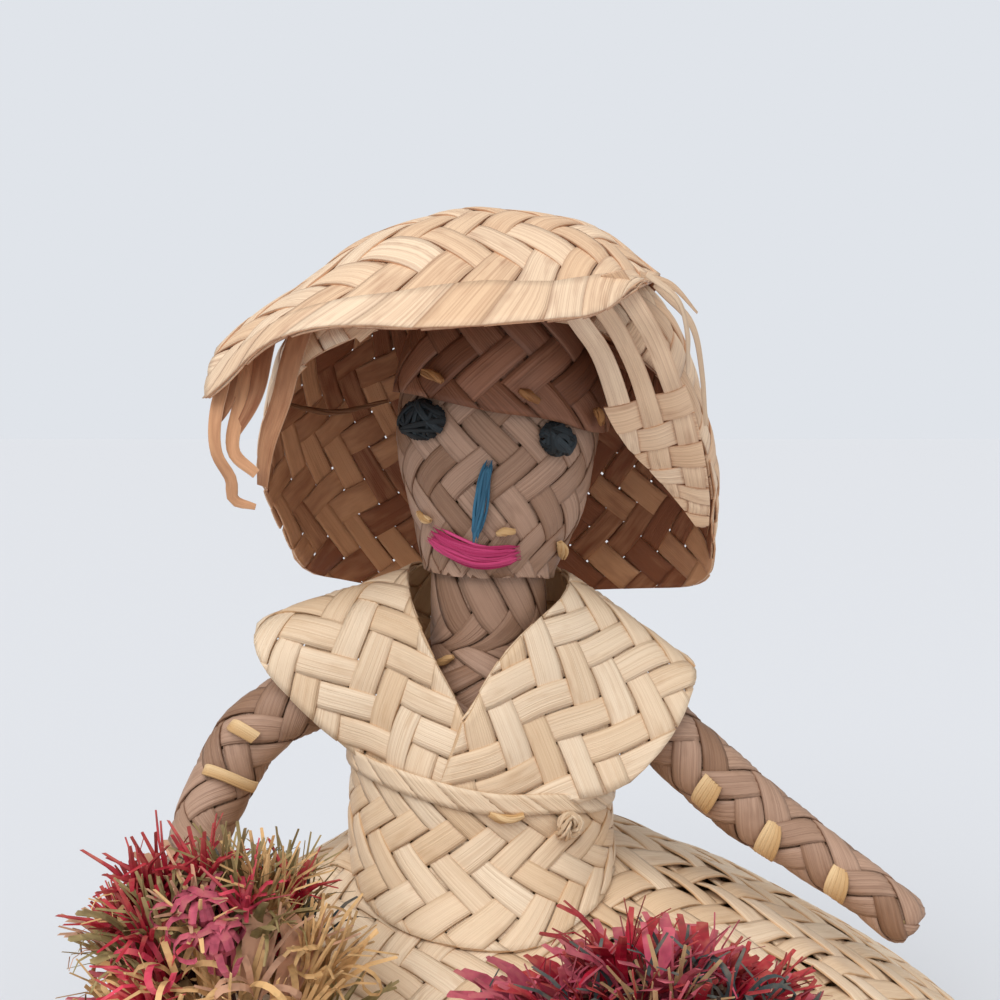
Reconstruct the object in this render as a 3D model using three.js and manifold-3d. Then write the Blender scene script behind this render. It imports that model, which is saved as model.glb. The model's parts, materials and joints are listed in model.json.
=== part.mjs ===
// A straw doll plaited from split leaf: round skirt, bodice, collar, brown head and arms, torn hat
// and two bouquets of dyed, shredded straw. Left and right are the doll's own: left is +X, the face is -Y.
import * as THREE from "three";
import { mergeVertices } from "three/addons/utils/BufferGeometryUtils.js";
import Module from "manifold-3d";

// Driving dimensions in millimetres, and angles in degrees where the name says so
const MAT = 1.6; // thickness of the natural plaited mat
const BROWN_MAT = 1.5; // thickness of the brown plaited mat
const FIT = 0.3; // gap kept between pieces that touch
const RAFFIA = 1.0; // half the thickness of a raffia stitch

const HEM_RADIUS = 112;
const WAIST_RADIUS = 25;
const SKIRT_HEIGHT = 71;
const WAIST_OFFSET = 16; // how far the waist stands to the right of the hem's centre
const WAIST_TILT = 8; // how much the waist drops at the front and rises at the back

const BODICE_HALF_WIDTH = 28.3;
const BODICE_HALF_DEPTH = 23.5;
const BODICE_TOP = 89.5;
const BODICE_SLANT = 0.16; // fall of the upper hem for each millimetre to the left
const PEPLUM_SIDE = 28.7; // reach of the lower hem at the sides
const PEPLUM_FRONT = 33.5; // and at the front and back
const PEPLUM_LIFT = 1.0; // height of the lower hem over the skirt

const TORSO_BOTTOM = 48;
const TORSO_DEPTH_RATIO = 0.76;
const SHOULDER_HEIGHT = 104;
const SHOULDER_SLOPE = 3; // how much narrower the shoulders are than the chest
const NECK_RADIUS = 12.4;
const NECK_SHIFT = 2; // how far the neck stands to the left of the torso's middle
const NECK_TOP = 137;
const CORE_TOP = 142;

const HEAD_BASE = 131;
const HEAD_LEAN_DEG = 4;
const HEAD_HALF_WIDTH = 21.7;
const HEAD_DEPTH_RATIO = 0.86;
const CHEEK_HEIGHT = 34; // height of the head's widest place over its base
const HEAD_HEIGHT = 65;
const STUFFING_BOTTOM = 13;
const WRAP_EDGE = 35.5; // height of the headwrap's edge in the middle of the brow
const WRAP_SLANT = 0.16;

const EYE_STRAND = 0.7; // half the thickness of the dark raffia
const EYE_STEP = 2.02; // growth of an eye's coil in one turn
const EYE_TURNS = 1.75;
const EYE_FLATNESS = 0.93; // height of an eye for each millimetre of its width
const NOSE_HALF_WIDTH = 1.5;
const MOUTH_HALF_WIDTH = 1.9;
const STRAND_CLEAR = 1.15; // a strand's middle is lifted by this many of its half thicknesses
const KNOT_RADIUS = 2.2;

const COLLAR_EASE = 3; // room between the head's opening and the collar
const HAT_EASE = 0.4; // room between the headwrap and the hat
const HAT_RIDGE = 5.5; // height of the brim's ridge over the crown
const STRIP_WIDTH = 5.5;
const FRAYED_WIDTH = 3.2;
const STRIP_THICK = 0.8;
const TIE_HEIGHT = 35; // height of the hat's ties over the head's base

const ARM_ROOT_RADIUS = 7.2;
const ARM_UPPER_RADIUS = 7.7;
const ARM_WRIST_RADIUS = 5.8;
const LACING_TURNS = 3.4;
const LACING_RADIUS = 0.8;

const BUNCH_CORE = 8;
const BUNCH_BLADE = 25;
const BUNCH_BARE = -0.15; // blades grow where the core's face points further along the stem than this
const BUNCH_CLEAR = 0.02; // and further away from the skirt than this
const BUNCH_STEM_RADIUS = 4.5;
const BUNCH_STEM = 7;
const BINDING_RADIUS = 0.7;
const BINDING_STEP = 1.9;
const BINDING_TURNS = 3;

// Round the model
const SIDES = 36;
const MERGE = 1e-3;

const vec = (x, y, z) => new THREE.Vector3(x, y, z);
const lerp = THREE.MathUtils.lerp;
const smooth = THREE.MathUtils.smoothstep;
const turn = (u) => 2 * Math.PI * u;

const wasm = await Module();
wasm.setup();

// Geometry helpers

// Turns the faces of a closed mesh outwards
function turnedOut(geometry) {
  const points = geometry.attributes.position;
  const index = geometry.index.array;
  const corner = (i) => vec().fromBufferAttribute(points, index[i]);
  let volume = 0;
  for (let i = 0; i < index.length; i += 3) {
    volume += corner(i).dot(corner(i + 1).cross(corner(i + 2)));
  }
  if (volume < 0) {
    index.reverse();
  }
  return geometry;
}

// Lays the points of a sphere, ring or box on a piece's own surface
function laid(geometry, rule) {
  const points = geometry.attributes.position;
  for (let i = 0; i < points.count; i++) {
    const place = rule(i, vec().fromBufferAttribute(points, i));
    points.setXYZ(i, place.x, place.y, place.z);
  }
  geometry.deleteAttribute("normal");
  geometry.deleteAttribute("uv");
  return turnedOut(mergeVertices(geometry, MERGE));
}

// A surface gives the point for u, once round or across, and v, from its top or neck edge to its end
function normalAt(surface, u, v) {
  const step = 1e-3;
  const across = surface(u + step, v).sub(surface(u - step, v));
  const down = surface(u, v + step).sub(surface(u, v - step));
  return down.cross(across).normalize();
}

// At a closed end every u gives the same point, so the normals from all round are added up there
function poleNormal(surface) {
  const sum = vec(0, 0, 0);
  for (let i = 0; i < 8; i++) {
    sum.add(normalAt(surface, i / 8, 2e-3));
  }
  return sum.normalize();
}

function lifted(surface, lift) {
  return (u, v) => surface(u, v).addScaledVector(normalAt(surface, u, v), lift);
}

function liftedCup(surface, lift) {
  const pole = poleNormal(surface);
  return (u, v) => surface(u, v).addScaledVector(v === 0 ? pole : normalAt(surface, u, v), lift);
}

// A cup-shaped wall: closed at v = 0 and open at v = 1
function cup(outer, inner, sides, rows) {
  const last = 2 * rows + 1;
  return laid(new THREE.SphereGeometry(1, sides, last), (i) => {
    const row = Math.floor(i / (sides + 1));
    const u = (i % (sides + 1)) / sides;
    return row <= rows ? outer(u, row / rows) : inner(u, (last - row) / rows);
  });
}

// A wall that is open at both ends
function band(outer, inner, sides, rows) {
  const loop = 2 * rows + 2;
  return laid(new THREE.TorusGeometry(2, 1, loop, sides), (i) => {
    const row = Math.floor(i / (sides + 1)) % loop;
    const u = (i % (sides + 1)) / sides;
    return row <= rows ? outer(u, row / rows) : inner(u, (loop - 1 - row) / rows);
  });
}

// A solid with a pole at each end
function pod(surface, sides, rows) {
  return laid(new THREE.SphereGeometry(1, sides, rows), (i) => {
    const row = Math.floor(i / (sides + 1));
    return surface((i % (sides + 1)) / sides, row / rows);
  });
}

// A sheet with four edges
function sheet(outer, inner, across, along) {
  return laid(new THREE.BoxGeometry(1, 1, 1, across, along, 1), (i, p) => {
    const side = p.z > 0 ? outer : inner;
    return side(p.x + 0.5, p.y + 0.5);
  });
}

// The surface of a limb along a path: v = 0 at the path's end and v = 1 at its start
const FRAME_STEPS = 240;
function along(path) {
  const frames = path.computeFrenetFrames(FRAME_STEPS, false);
  return (t, angle, radius) => {
    const k = Math.round(t * FRAME_STEPS);
    return path
      .getPointAt(t)
      .addScaledVector(frames.normals[k], radius * Math.cos(angle))
      .addScaledVector(frames.binormals[k], radius * Math.sin(angle));
  };
}

// A short raffia stitch, fat in the middle and thin at its ends, laid through the given points
function stitch(points, half, steps = 4, sides = 6) {
  const place = along(new THREE.CatmullRomCurve3(points));
  return pod((u, v) => {
    const t = THREE.MathUtils.clamp((v * (steps + 2) - 1) / steps, 0, 1);
    const swell = v === 0 || v === 1 ? 0 : 0.45 + 0.55 * Math.sin(Math.PI * t);
    return place(t, turn(u), half * swell);
  }, sides, steps + 2);
}

// A flat strip of leaf along a curve, narrowed at its two ends
function strip(points, across, width = STRIP_WIDTH) {
  const path = new THREE.CatmullRomCurve3(points);
  const place = (u, v, lift) => {
    const tangent = path.getTangentAt(v);
    const side = across.clone().addScaledVector(tangent, -across.dot(tangent)).normalize();
    const normal = tangent.cross(side);
    const taper = 0.3 + 0.7 * Math.sqrt(Math.sin(Math.PI * THREE.MathUtils.clamp(v, 0, 1)));
    const reach = (u - 0.5) * width * taper;
    return path.getPointAt(v).addScaledVector(side, reach).addScaledVector(normal, lift);
  };
  const half = STRIP_THICK / 2;
  return sheet((u, v) => place(u, v, half), (u, v) => place(u, v, -half), 1, 9);
}

// A round cord along a winding, from a section with few sides
class Winding extends THREE.Curve {
  constructor(rule) {
    super();
    this.rule = rule;
  }
  getPoint(t) {
    return this.rule(t);
  }
}

function wound(rule, turns, radius, steps, sides, name) {
  const path = new Winding(rule);
  const section = new THREE.Shape();
  for (let i = 0; i < sides; i++) {
    const angle = turn(i / sides);
    section[i ? "lineTo" : "moveTo"](radius * Math.cos(angle), radius * Math.sin(angle));
  }
  section.closePath();
  const points = path.getSpacedPoints(steps * 4);
  let least = Infinity;
  for (let i = 0; i < points.length; i++) {
    for (let j = i + Math.ceil((points.length / turns) * 0.5); j < points.length; j++) {
      least = Math.min(least, points[i].distanceTo(points[j]) - 2 * radius);
    }
  }
  console.log(`${name}: least gap to itself ${least.toFixed(2)} mm`);
  const cord = new THREE.ExtrudeGeometry(section, { steps, extrudePath: path, bevelEnabled: false });
  cord.deleteAttribute("normal");
  cord.deleteAttribute("uv");
  return turnedOut(mergeVertices(cord, MERGE));
}

// Joins two closed meshes into one body
function joined(first, second) {
  const solid = (geometry) => {
    const vertProperties = new Float32Array(geometry.attributes.position.array);
    const triVerts = new Uint32Array(geometry.index.array);
    return new wasm.Manifold(new wasm.Mesh({ numProp: 3, vertProperties, triVerts }));
  };
  const mesh = solid(first).add(solid(second)).getMesh();
  const geometry = new THREE.BufferGeometry();
  geometry.setAttribute("position", new THREE.BufferAttribute(mesh.vertProperties, 3));
  geometry.setIndex(new THREE.BufferAttribute(mesh.triVerts, 1));
  return geometry;
}

// The doll and its groups: the doll's own middle is the torso's, and its origin is the hem's centre
const part = new THREE.Group();
const doll = new THREE.Group();
doll.position.x = -WAIST_OFFSET;
part.add(doll);
const head = new THREE.Group();
head.position.set(NECK_SHIFT, 0, HEAD_BASE);
head.rotation.y = THREE.MathUtils.degToRad(HEAD_LEAN_DEG);
doll.add(head);

const finish = (color, roughness) => ({ color, roughness, metalness: 0 });
const NATURAL = finish(0xe3c596, 0.6);
const BROWN = finish(0x8a6650, 0.6);
const RAFFIA_GOLD = finish(0xd9a860, 0.7);
const DARK = finish(0x3f4347, 0.7);
const BLUE = finish(0x2f5f80, 0.7);
const PINK = finish(0xc02f6e, 0.7);
const CORE_STRAW = finish(0xb89a6c, 0.9);
const DYED = finish(0xa3304a, 0.8);

function add(group, name, geometry, look) {
  const mesh = new THREE.Mesh(geometry, new THREE.MeshStandardMaterial(look));
  mesh.name = name;
  group.add(mesh);
  return mesh;
}

// Skirt: a round mat that falls from the waist as a parabola, with its hem flat on the floor
function skirtAt(radius, angle) {
  const spread = (radius - WAIST_RADIUS) / (HEM_RADIUS - WAIST_RADIUS);
  const rise = 1 - spread;
  return vec(
    radius * Math.cos(angle) + WAIST_OFFSET * spread,
    radius * Math.sin(angle),
    SKIRT_HEIGHT * Math.sqrt(Math.max(rise, 0)) + WAIST_TILT * rise * Math.sin(angle),
  );
}

function skirtSurface(u, v) {
  const rise = (1 - v) ** 2;
  const radius = lerp(HEM_RADIUS, WAIST_RADIUS, rise);
  const place = skirtAt(radius, turn(u));
  place.z = SKIRT_HEIGHT * (1 - v) + WAIST_TILT * rise * Math.sin(turn(u));
  return place;
}

add(doll, "skirt", band(skirtSurface, lifted(skirtSurface, -MAT), SIDES, 6), NATURAL);

// Bodice: a band from its slanted upper hem to a peplum that lies on the skirt
const bodiceTopAt = (x) => BODICE_TOP - BODICE_SLANT * x;

function bodiceSurface(u, v) {
  const angle = turn(u);
  const top = vec(BODICE_HALF_WIDTH * Math.cos(angle), BODICE_HALF_DEPTH * Math.sin(angle), 0);
  top.z = bodiceTopAt(top.x);
  const hem = skirtAt(lerp(PEPLUM_SIDE, PEPLUM_FRONT, Math.sin(angle) ** 2), angle);
  const flare = v ** 3;
  return vec(lerp(top.x, hem.x, flare), lerp(top.y, hem.y, flare), lerp(top.z, hem.z + PEPLUM_LIFT, v));
}

function bodiceInner(u, v) {
  const outer = bodiceSurface(u, v);
  return vec(outer.x - MAT * Math.cos(turn(u)), outer.y - MAT * Math.sin(turn(u)), outer.z);
}

add(doll, "bodice", band(bodiceSurface, bodiceInner, 32, 4), NATURAL);

// Torso: a roll of leaf that swells at the chest and narrows to the neck, where the head sits over it
const CHEST = BODICE_HALF_WIDTH - MAT - FIT;
const SHOULDER = CHEST - SHOULDER_SLOPE;
const ROLL_AT_WAIST = WAIST_RADIUS - MAT / 2 - FIT;
const NECK_CORE = NECK_RADIUS - BROWN_MAT - FIT;
const torsoProfile = new THREE.SplineCurve([
  new THREE.Vector2(ROLL_AT_WAIST - 4, TORSO_BOTTOM),
  new THREE.Vector2(ROLL_AT_WAIST, TORSO_BOTTOM + 7),
  new THREE.Vector2(ROLL_AT_WAIST, SHOULDER_HEIGHT - 25),
  new THREE.Vector2(CHEST, SHOULDER_HEIGHT - 18),
  new THREE.Vector2(SHOULDER, SHOULDER_HEIGHT - 7),
  new THREE.Vector2(lerp(NECK_CORE, SHOULDER, 0.6), SHOULDER_HEIGHT + 3),
  new THREE.Vector2(NECK_CORE + 1.6, SHOULDER_HEIGHT + 10),
  new THREE.Vector2(NECK_CORE, SHOULDER_HEIGHT + 16),
  new THREE.Vector2(NECK_CORE, NECK_TOP),
  new THREE.Vector2(NECK_CORE, CORE_TOP),
]);
const SHEATH_FROM = 4 / 9;
const SHEATH_TO = 8 / 9;

function torsoSurface(u, t) {
  const at = torsoProfile.getPoint(THREE.MathUtils.clamp(t, 0, 1));
  const neck = smooth(at.y, SHOULDER_HEIGHT - 4, SHOULDER_HEIGHT + 14);
  const angle = turn(u);
  const depth = lerp(TORSO_DEPTH_RATIO, 1, neck);
  return vec(at.x * Math.cos(angle) + NECK_SHIFT * neck, at.x * depth * Math.sin(angle), at.y);
}

// The roll is laid from its top down, closed by a flat end at the top and the bottom
const TORSO_ROWS = 18;
add(doll, "torso_roll", pod((u, v) => {
  const t = 1 - THREE.MathUtils.clamp((v * (TORSO_ROWS + 2) - 1) / TORSO_ROWS, 0, 1);
  const edge = torsoSurface(u, t);
  const middle = torsoSurface(u, t).lerp(torsoSurface(u + 0.5, t), 0.5);
  return v === 0 || v === 1 ? middle : edge;
}, 20, TORSO_ROWS + 2), CORE_STRAW);

const sheathSurface = (u, v) => torsoSurface(u, lerp(SHEATH_TO, SHEATH_FROM, v));
const sheathLift = (lift) => lifted(sheathSurface, lift);
add(doll, "neck_sheath", band(sheathLift(FIT + BROWN_MAT), sheathLift(FIT), 20, 8), BROWN);

// Head: an ovoid sheath, open round the neck
const HEAD_OPENING = NECK_RADIUS + FIT + BROWN_MAT;

function headHalfWidth(z) {
  if (z < CHEEK_HEIGHT) {
    return HEAD_OPENING + (HEAD_HALF_WIDTH - HEAD_OPENING) * Math.sin((Math.PI / 2) * (z / CHEEK_HEIGHT));
  }
  const up = (z - CHEEK_HEIGHT) / (HEAD_HEIGHT - CHEEK_HEIGHT);
  return HEAD_HALF_WIDTH * Math.sqrt(Math.max(0, 1 - up * up));
}

function headAt(angle, z) {
  const half = headHalfWidth(z);
  const depth = half * lerp(1, HEAD_DEPTH_RATIO, smooth(z, 0, CHEEK_HEIGHT / 2));
  return vec(half * Math.cos(angle), depth * Math.sin(angle), z);
}

// From the crown of the head to a lower edge that may slant
function headFrom(edge) {
  return (u, v) => {
    const angle = turn(u);
    const low = edge(HEAD_HALF_WIDTH * Math.cos(angle));
    return headAt(angle, low + (HEAD_HEIGHT - low) * Math.cos((Math.PI / 2) * v));
  };
}

const headSurface = headFrom(() => 0);
add(head, "head_sheath", cup(headSurface, liftedCup(headSurface, -BROWN_MAT), 26, 8), BROWN);

const stuffingSurface = liftedCup(headFrom(() => STUFFING_BOTTOM), -BROWN_MAT - 2 * FIT);
const STUFFING_ROWS = 9;
add(head, "head_stuffing", pod((u, v) => {
  const row = v * (STUFFING_ROWS + 1);
  const edge = stuffingSurface(u, Math.min(row / STUFFING_ROWS, 1));
  return v === 1 ? vec(0, 0, STUFFING_BOTTOM) : edge;
}, 20, STUFFING_ROWS + 1), CORE_STRAW);

const wrapEdge = (x) => WRAP_EDGE - WRAP_SLANT * x;
const wrapSurface = headFrom(wrapEdge);
const wrapLift = (lift) => liftedCup(wrapSurface, lift);
add(head, "headwrap", cup(wrapLift(FIT + BROWN_MAT), wrapLift(FIT), 28, 6), BROWN);

// Face: a spot on the front of the head, at x to the side and z up, lifted clear of the plait
function faceSpot(x, z, lift) {
  const angle = -Math.acos(THREE.MathUtils.clamp(x / headHalfWidth(z), -1, 1));
  const step = 1e-3;
  const across = headAt(angle + step, z).sub(headAt(angle - step, z));
  const up = headAt(angle, z + step).sub(headAt(angle, z - step));
  return headAt(angle, z).addScaledVector(across.cross(up).normalize(), lift);
}

function eye(name, x, z) {
  const lift = FIT + EYE_STRAND * STRAND_CLEAR;
  const coil = (t) => {
    const angle = turn(EYE_TURNS * t);
    const radius = EYE_STRAND + EYE_STEP * EYE_TURNS * t;
    return faceSpot(x + radius * Math.cos(angle), z + EYE_FLATNESS * radius * Math.sin(angle), lift);
  };
  add(head, name, wound(coil, EYE_TURNS, EYE_STRAND, 32, 6, name), DARK);
}

const EYE_REACH = 2 * EYE_STRAND + EYE_STEP * EYE_TURNS;
const LEFT_EYE_X = 11.2;
const RIGHT_EYE_X = -14.2;
const eyeHeight = (x, drop) => wrapEdge(x) - FIT - EYE_REACH - drop;
eye("left_eye_knot", LEFT_EYE_X, eyeHeight(LEFT_EYE_X, 0));
eye("right_eye_knot", RIGHT_EYE_X, eyeHeight(RIGHT_EYE_X, 1.2));

// A tack on the face lies along the plait from one spot to another
function faceStitch(name, spots, half, look, steps) {
  const points = spots.map(([x, z]) => faceSpot(x, z, FIT + half));
  add(head, name, stitch(points, half, steps), look);
}

faceStitch("nose_stitch", [[-1.8, 24.3], [-2.2, 17], [-2.6, 11.4]], NOSE_HALF_WIDTH, BLUE);
const mouthSpots = [[-12.6, 8.6], [-8, 7.2], [-3, 5.8], [1.5, 5.8], [6.2, 6.6]];
faceStitch("mouth_stitch", mouthSpots, MOUTH_HALF_WIDTH, PINK, 10);
faceStitch("lip_stitch", [[2.2, 11], [4, 11.4], [5.8, 11]], RAFFIA, RAFFIA_GOLD);
faceStitch("cheek_stitch_right", [[-15.4, 14.4], [-14, 13], [-12.6, 12.6]], RAFFIA, RAFFIA_GOLD);
faceStitch("cheek_stitch_left", [[13.6, 8.2], [14.4, 6.8], [14.8, 5]], RAFFIA, RAFFIA_GOLD);

function wrapSpot(x, z) {
  return faceSpot(x, z, FIT + BROWN_MAT + FIT + RAFFIA * STRAND_CLEAR);
}
const browStitch = (name, spots) => {
  add(head, name, stitch(spots.map(([x, z]) => wrapSpot(x, z)), RAFFIA), RAFFIA_GOLD);
};
browStitch("brow_stitch_right", [[-15.6, 41.6], [-13.6, 41], [-11.8, 40]]);
browStitch("brow_stitch_left", [[3.4, 38.2], [5.2, 37.2], [7, 36]]);
browStitch("temple_stitch", [[18, 37], [19, 35.4], [19.6, 33.6]]);

const neckStitchSpots = [[0.675, 0.52], [0.655, 0.56], [0.64, 0.6]];
const sheathOutside = sheathLift(FIT + BROWN_MAT + FIT + RAFFIA * STRAND_CLEAR);
add(doll, "neck_stitch", stitch(neckStitchSpots.map(([u, v]) => sheathOutside(u, v)), RAFFIA), RAFFIA_GOLD);

const bodiceOutside = lifted(bodiceSurface, FIT + RAFFIA * STRAND_CLEAR);
const bodiceTack = (spots) => stitch(spots.map(([u, v]) => bodiceOutside(u, v)), RAFFIA);
add(doll, "bodice_stitch", bodiceTack([[0.772, 0.12], [0.785, 0.13], [0.8, 0.12]]), RAFFIA_GOLD);
const knot = laid(new THREE.IcosahedronGeometry(KNOT_RADIUS, 1), (i, p) => vec(p.x, p.y, 0.8 * p.z));
const knotPlace = lifted(bodiceSurface, FIT + KNOT_RADIUS)(0.853, 0.24);
add(doll, "bodice_knot", knot, RAFFIA_GOLD).position.copy(knotPlace);

// Collar: two lapels, each ruled from its neckline to its outer edge, over the shoulder to the back
const COLLAR_RING = HEAD_OPENING + COLLAR_EASE;
function bodiceRim(x) {
  const half = BODICE_HALF_WIDTH - MAT / 2;
  const depth = (BODICE_HALF_DEPTH - MAT / 2) * Math.sqrt(1 - (x / half) ** 2);
  return vec(x, -depth, bodiceTopAt(x) + 3 * FIT);
}

function lapel(name, neckline, edge) {
  const inner = new THREE.CatmullRomCurve3(neckline);
  const outer = new THREE.CatmullRomCurve3(edge);
  const surface = (u, v) => {
    const at = THREE.MathUtils.clamp(u, 0, 1);
    return inner.getPoint(at).lerp(outer.getPoint(at), v);
  };
  const up = normalAt(surface, 0.5, 0.5).z > 0 ? 1 : -1;
  const half = (MAT / 2) * up;
  add(doll, name, sheet(lifted(surface, half), lifted(surface, -half), 18, 5), NATURAL);
}

const neckSide = (side, y, z) => {
  const x = NECK_SHIFT + side * Math.sqrt(COLLAR_RING ** 2 - y ** 2);
  return vec(x, y, z);
};
const V_FRONT = -BODICE_HALF_DEPTH + MAT / 2;
lapel(
  "collar_right",
  [vec(-4, V_FRONT, 103.6), vec(-10.4, -17.5, 118.7), neckSide(-1, -4, 130.5), neckSide(-1, 9, 131),
    vec(-2 * FIT, COLLAR_RING, 130)],
  [bodiceRim(-6), bodiceRim(-15), bodiceRim(-24), vec(-45.7, -8, 113), vec(-46.8, 0, 119.8),
    vec(-40, 12, 117), vec(-24, 23, 106), vec(-2 * FIT, 26, 98)],
);
lapel(
  "collar_left",
  [vec(-2.4, V_FRONT, 104), vec(5.8, -17.5, 116.6), neckSide(1, -4, 128), neckSide(1, 9, 130),
    vec(2 * FIT, COLLAR_RING, 130)],
  [bodiceRim(-4.6), bodiceRim(5), bodiceRim(14), vec(33.1, -14, 90.6), vec(46, -4, 109.1), vec(42, 9, 112),
    vec(26, 22, 105), vec(2 * FIT, 26, 98)],
);

// Hat: a crown whose rim runs high in front and low behind, resting on the headwrap
const lean = THREE.MathUtils.degToRad(HEAD_LEAN_DEG);
const HAT_TOP = HEAD_BASE + (HEAD_HEIGHT + FIT + BROWN_MAT) * Math.cos(lean) + HAT_EASE + MAT;
const hatApex = vec(NECK_SHIFT + HEAD_HEIGHT * Math.sin(lean), 6, HAT_TOP);
const hatRim = new THREE.CatmullRomCurve3([
  vec(52.3, 8, 135.5), vec(51, 20, 126), vec(37.4, 33, 122.4), vec(3, 44, 121), vec(-33.8, 36, 124),
  vec(-42.4, 27, 129), vec(-47.7, 8, 147.6), vec(-44, -10, 160), vec(-30, -25, 177), vec(0, -33, 183),
  vec(15, -32, 182), vec(30, -25, 177), vec(41.5, -14, 166), vec(48.5, -3, 153),
], true);

// Each line from the apex to the rim is a parabola that leaves the apex level
function hatSurface(u, v) {
  const rim = hatRim.getPoint(((u % 1) + 1) % 1);
  const out = v * (2 - v);
  return vec(lerp(hatApex.x, rim.x, out), lerp(hatApex.y, rim.y, out), lerp(HAT_TOP, rim.z, v * v));
}

add(doll, "hat_crown", cup(hatSurface, liftedCup(hatSurface, -MAT), SIDES, 7), NATURAL);

// Height of the crown's outside over a place
function crownOver(x, y) {
  const wanted = vec(x - hatApex.x, y - hatApex.y, 0);
  let best = { miss: Infinity };
  for (let i = 0; i < 1440; i++) {
    const rim = hatRim.getPoint(i / 1440);
    const out = vec(rim.x - hatApex.x, rim.y - hatApex.y, 0);
    const miss = out.angleTo(wanted);
    best = miss < best.miss ? { miss, rim, share: wanted.length() / out.length() } : best;
  }
  const v = 1 - Math.sqrt(1 - Math.min(best.share, 1));
  return lerp(HAT_TOP, best.rim.z, v * v);
}

// The front brim is a second mat: from its turned-up front edge over a ridge and back onto the crown
const brimFront = new THREE.CatmullRomCurve3([
  vec(-52.3, -28, 167.6), vec(-34.1, -40, 178.5), vec(-9.9, -48, 180.2), vec(12.3, -48, 181),
  vec(24, -42, 184), vec(30.2, -36, 187.5),
]);
const overCrown = (x, y, rise) => vec(x, y, crownOver(x, y) + rise);
const brimRidge = new THREE.CatmullRomCurve3([
  vec(-50, -20, 178), vec(-33, -20, 191), overCrown(-12, -14, HAT_RIDGE), overCrown(4, -9, HAT_RIDGE),
  overCrown(22, -11, HAT_RIDGE), overCrown(35.5, -14, HAT_RIDGE),
]);
const BRIM_SEAT = FIT + 1.5 * MAT;
const brimBack = new THREE.CatmullRomCurve3([
  overCrown(-40, -4, BRIM_SEAT), overCrown(-30, -1, BRIM_SEAT), overCrown(-12, 4, BRIM_SEAT),
  overCrown(4, 6, BRIM_SEAT), overCrown(22, 5, BRIM_SEAT), overCrown(37, 1, BRIM_SEAT),
]);

function brimSurface(u, v) {
  const at = THREE.MathUtils.clamp(u, 0, 1);
  const front = brimFront.getPoint(at);
  const back = brimBack.getPoint(at);
  const ends = front.clone().lerp(back, 0.5);
  const ridge = brimRidge.getPoint(at).multiplyScalar(2).sub(ends);
  return front.lerp(ridge, v).lerp(ridge.lerp(back, v), v);
}

const brim = sheet(lifted(brimSurface, MAT / 2), lifted(brimSurface, -MAT / 2), 18, 6);
add(doll, "hat_front_brim", brim, NATURAL);

// Loose strips hang from under the brim: three cross to the crown's left side, four are frayed at the right
const underBrim = lifted(brimSurface, MAT / 2 + FIT + STRIP_THICK);
const onCrown = lifted(hatSurface, 2 * FIT + STRIP_THICK);
const sideStrips = [
  [underBrim(0.72, 0.1), vec(23.6, -34.5, 166.6), vec(36, -24, 155), vec(48.5, -9, 146.5),
    onCrown(0.99, 0.96)],
  [underBrim(0.84, 0.12), vec(33.5, -29, 168.5), vec(46.5, -13, 156.5), onCrown(0.966, 0.95)],
  [underBrim(0.96, 0.14), vec(39, -25, 175), vec(46.5, -13, 164.5), onCrown(0.944, 0.93)],
];
sideStrips.forEach((points, i) => {
  add(doll, `hat_side_strip_${i + 1}`, strip(points, vec(-0.22, 0.6, 0.85)), NATURAL);
});

const frayed = [
  [0.02, vec(-53.5, -26, 158), vec(-52.5, -25, 150)],
  [0.07, vec(-49.5, -26, 157), vec(-49, -24, 146), vec(-44, -24, 142.5)],
  [0.13, vec(-45.5, -28, 161), vec(-44, -26, 153)],
  [0.2, vec(-40, -28, 163), vec(-41, -24, 152)],
];
frayed.forEach(([share, ...rest], i) => {
  const points = [underBrim(share, 0.08), ...rest];
  add(doll, `hat_frayed_strip_${i + 1}`, strip(points, vec(0.7, -0.6, 0.2), FRAYED_WIDTH), NATURAL);
});

// Raffia ties from the temples to the inside of the crown, on the line that the hat tilts about
const tieHeight = HEAD_BASE + TIE_HEIGHT;
function insideCrown(side) {
  let best = { miss: Infinity };
  for (let i = 0; i < 200; i++) {
    for (let j = 60; j < 100; j++) {
      const u = (side > 0 ? 0.85 : 0.35) + 0.3 * (i / 200);
      const place = hatSurface(u, j / 100);
      const miss = Math.hypot(place.y, place.z - tieHeight);
      best = miss < best.miss ? { miss, u, v: j / 100 } : best;
    }
  }
  return lifted(hatSurface, -MAT - FIT)(best.u, best.v);
}

function hatTie(name, side) {
  const temple = vec(side * (HEAD_HALF_WIDTH + 2 * FIT + BROWN_MAT), 0, TIE_HEIGHT);
  const start = temple.applyMatrix4(new THREE.Matrix4().makeRotationY(lean)).add(head.position);
  const end = insideCrown(side);
  const middle = start.clone().lerp(end, 0.5).add(vec(0, 0, -3));
  add(doll, name, stitch([start, middle, end], RAFFIA, 8), RAFFIA_GOLD);
}

hatTie("hat_tie_left", 1);
hatTie("hat_tie_right", -1);

// Arms: a sleeve round a roll, laced with raffia, set against the shoulder
const SHOULDER_REACH = SHOULDER + FIT + BROWN_MAT + FIT;
const armRadius = (t) => {
  const swell = lerp(ARM_ROOT_RADIUS, ARM_UPPER_RADIUS, smooth(t, 0, 0.2));
  return lerp(swell, ARM_WRIST_RADIUS, smooth(t, 0.25, 1));
};

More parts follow.
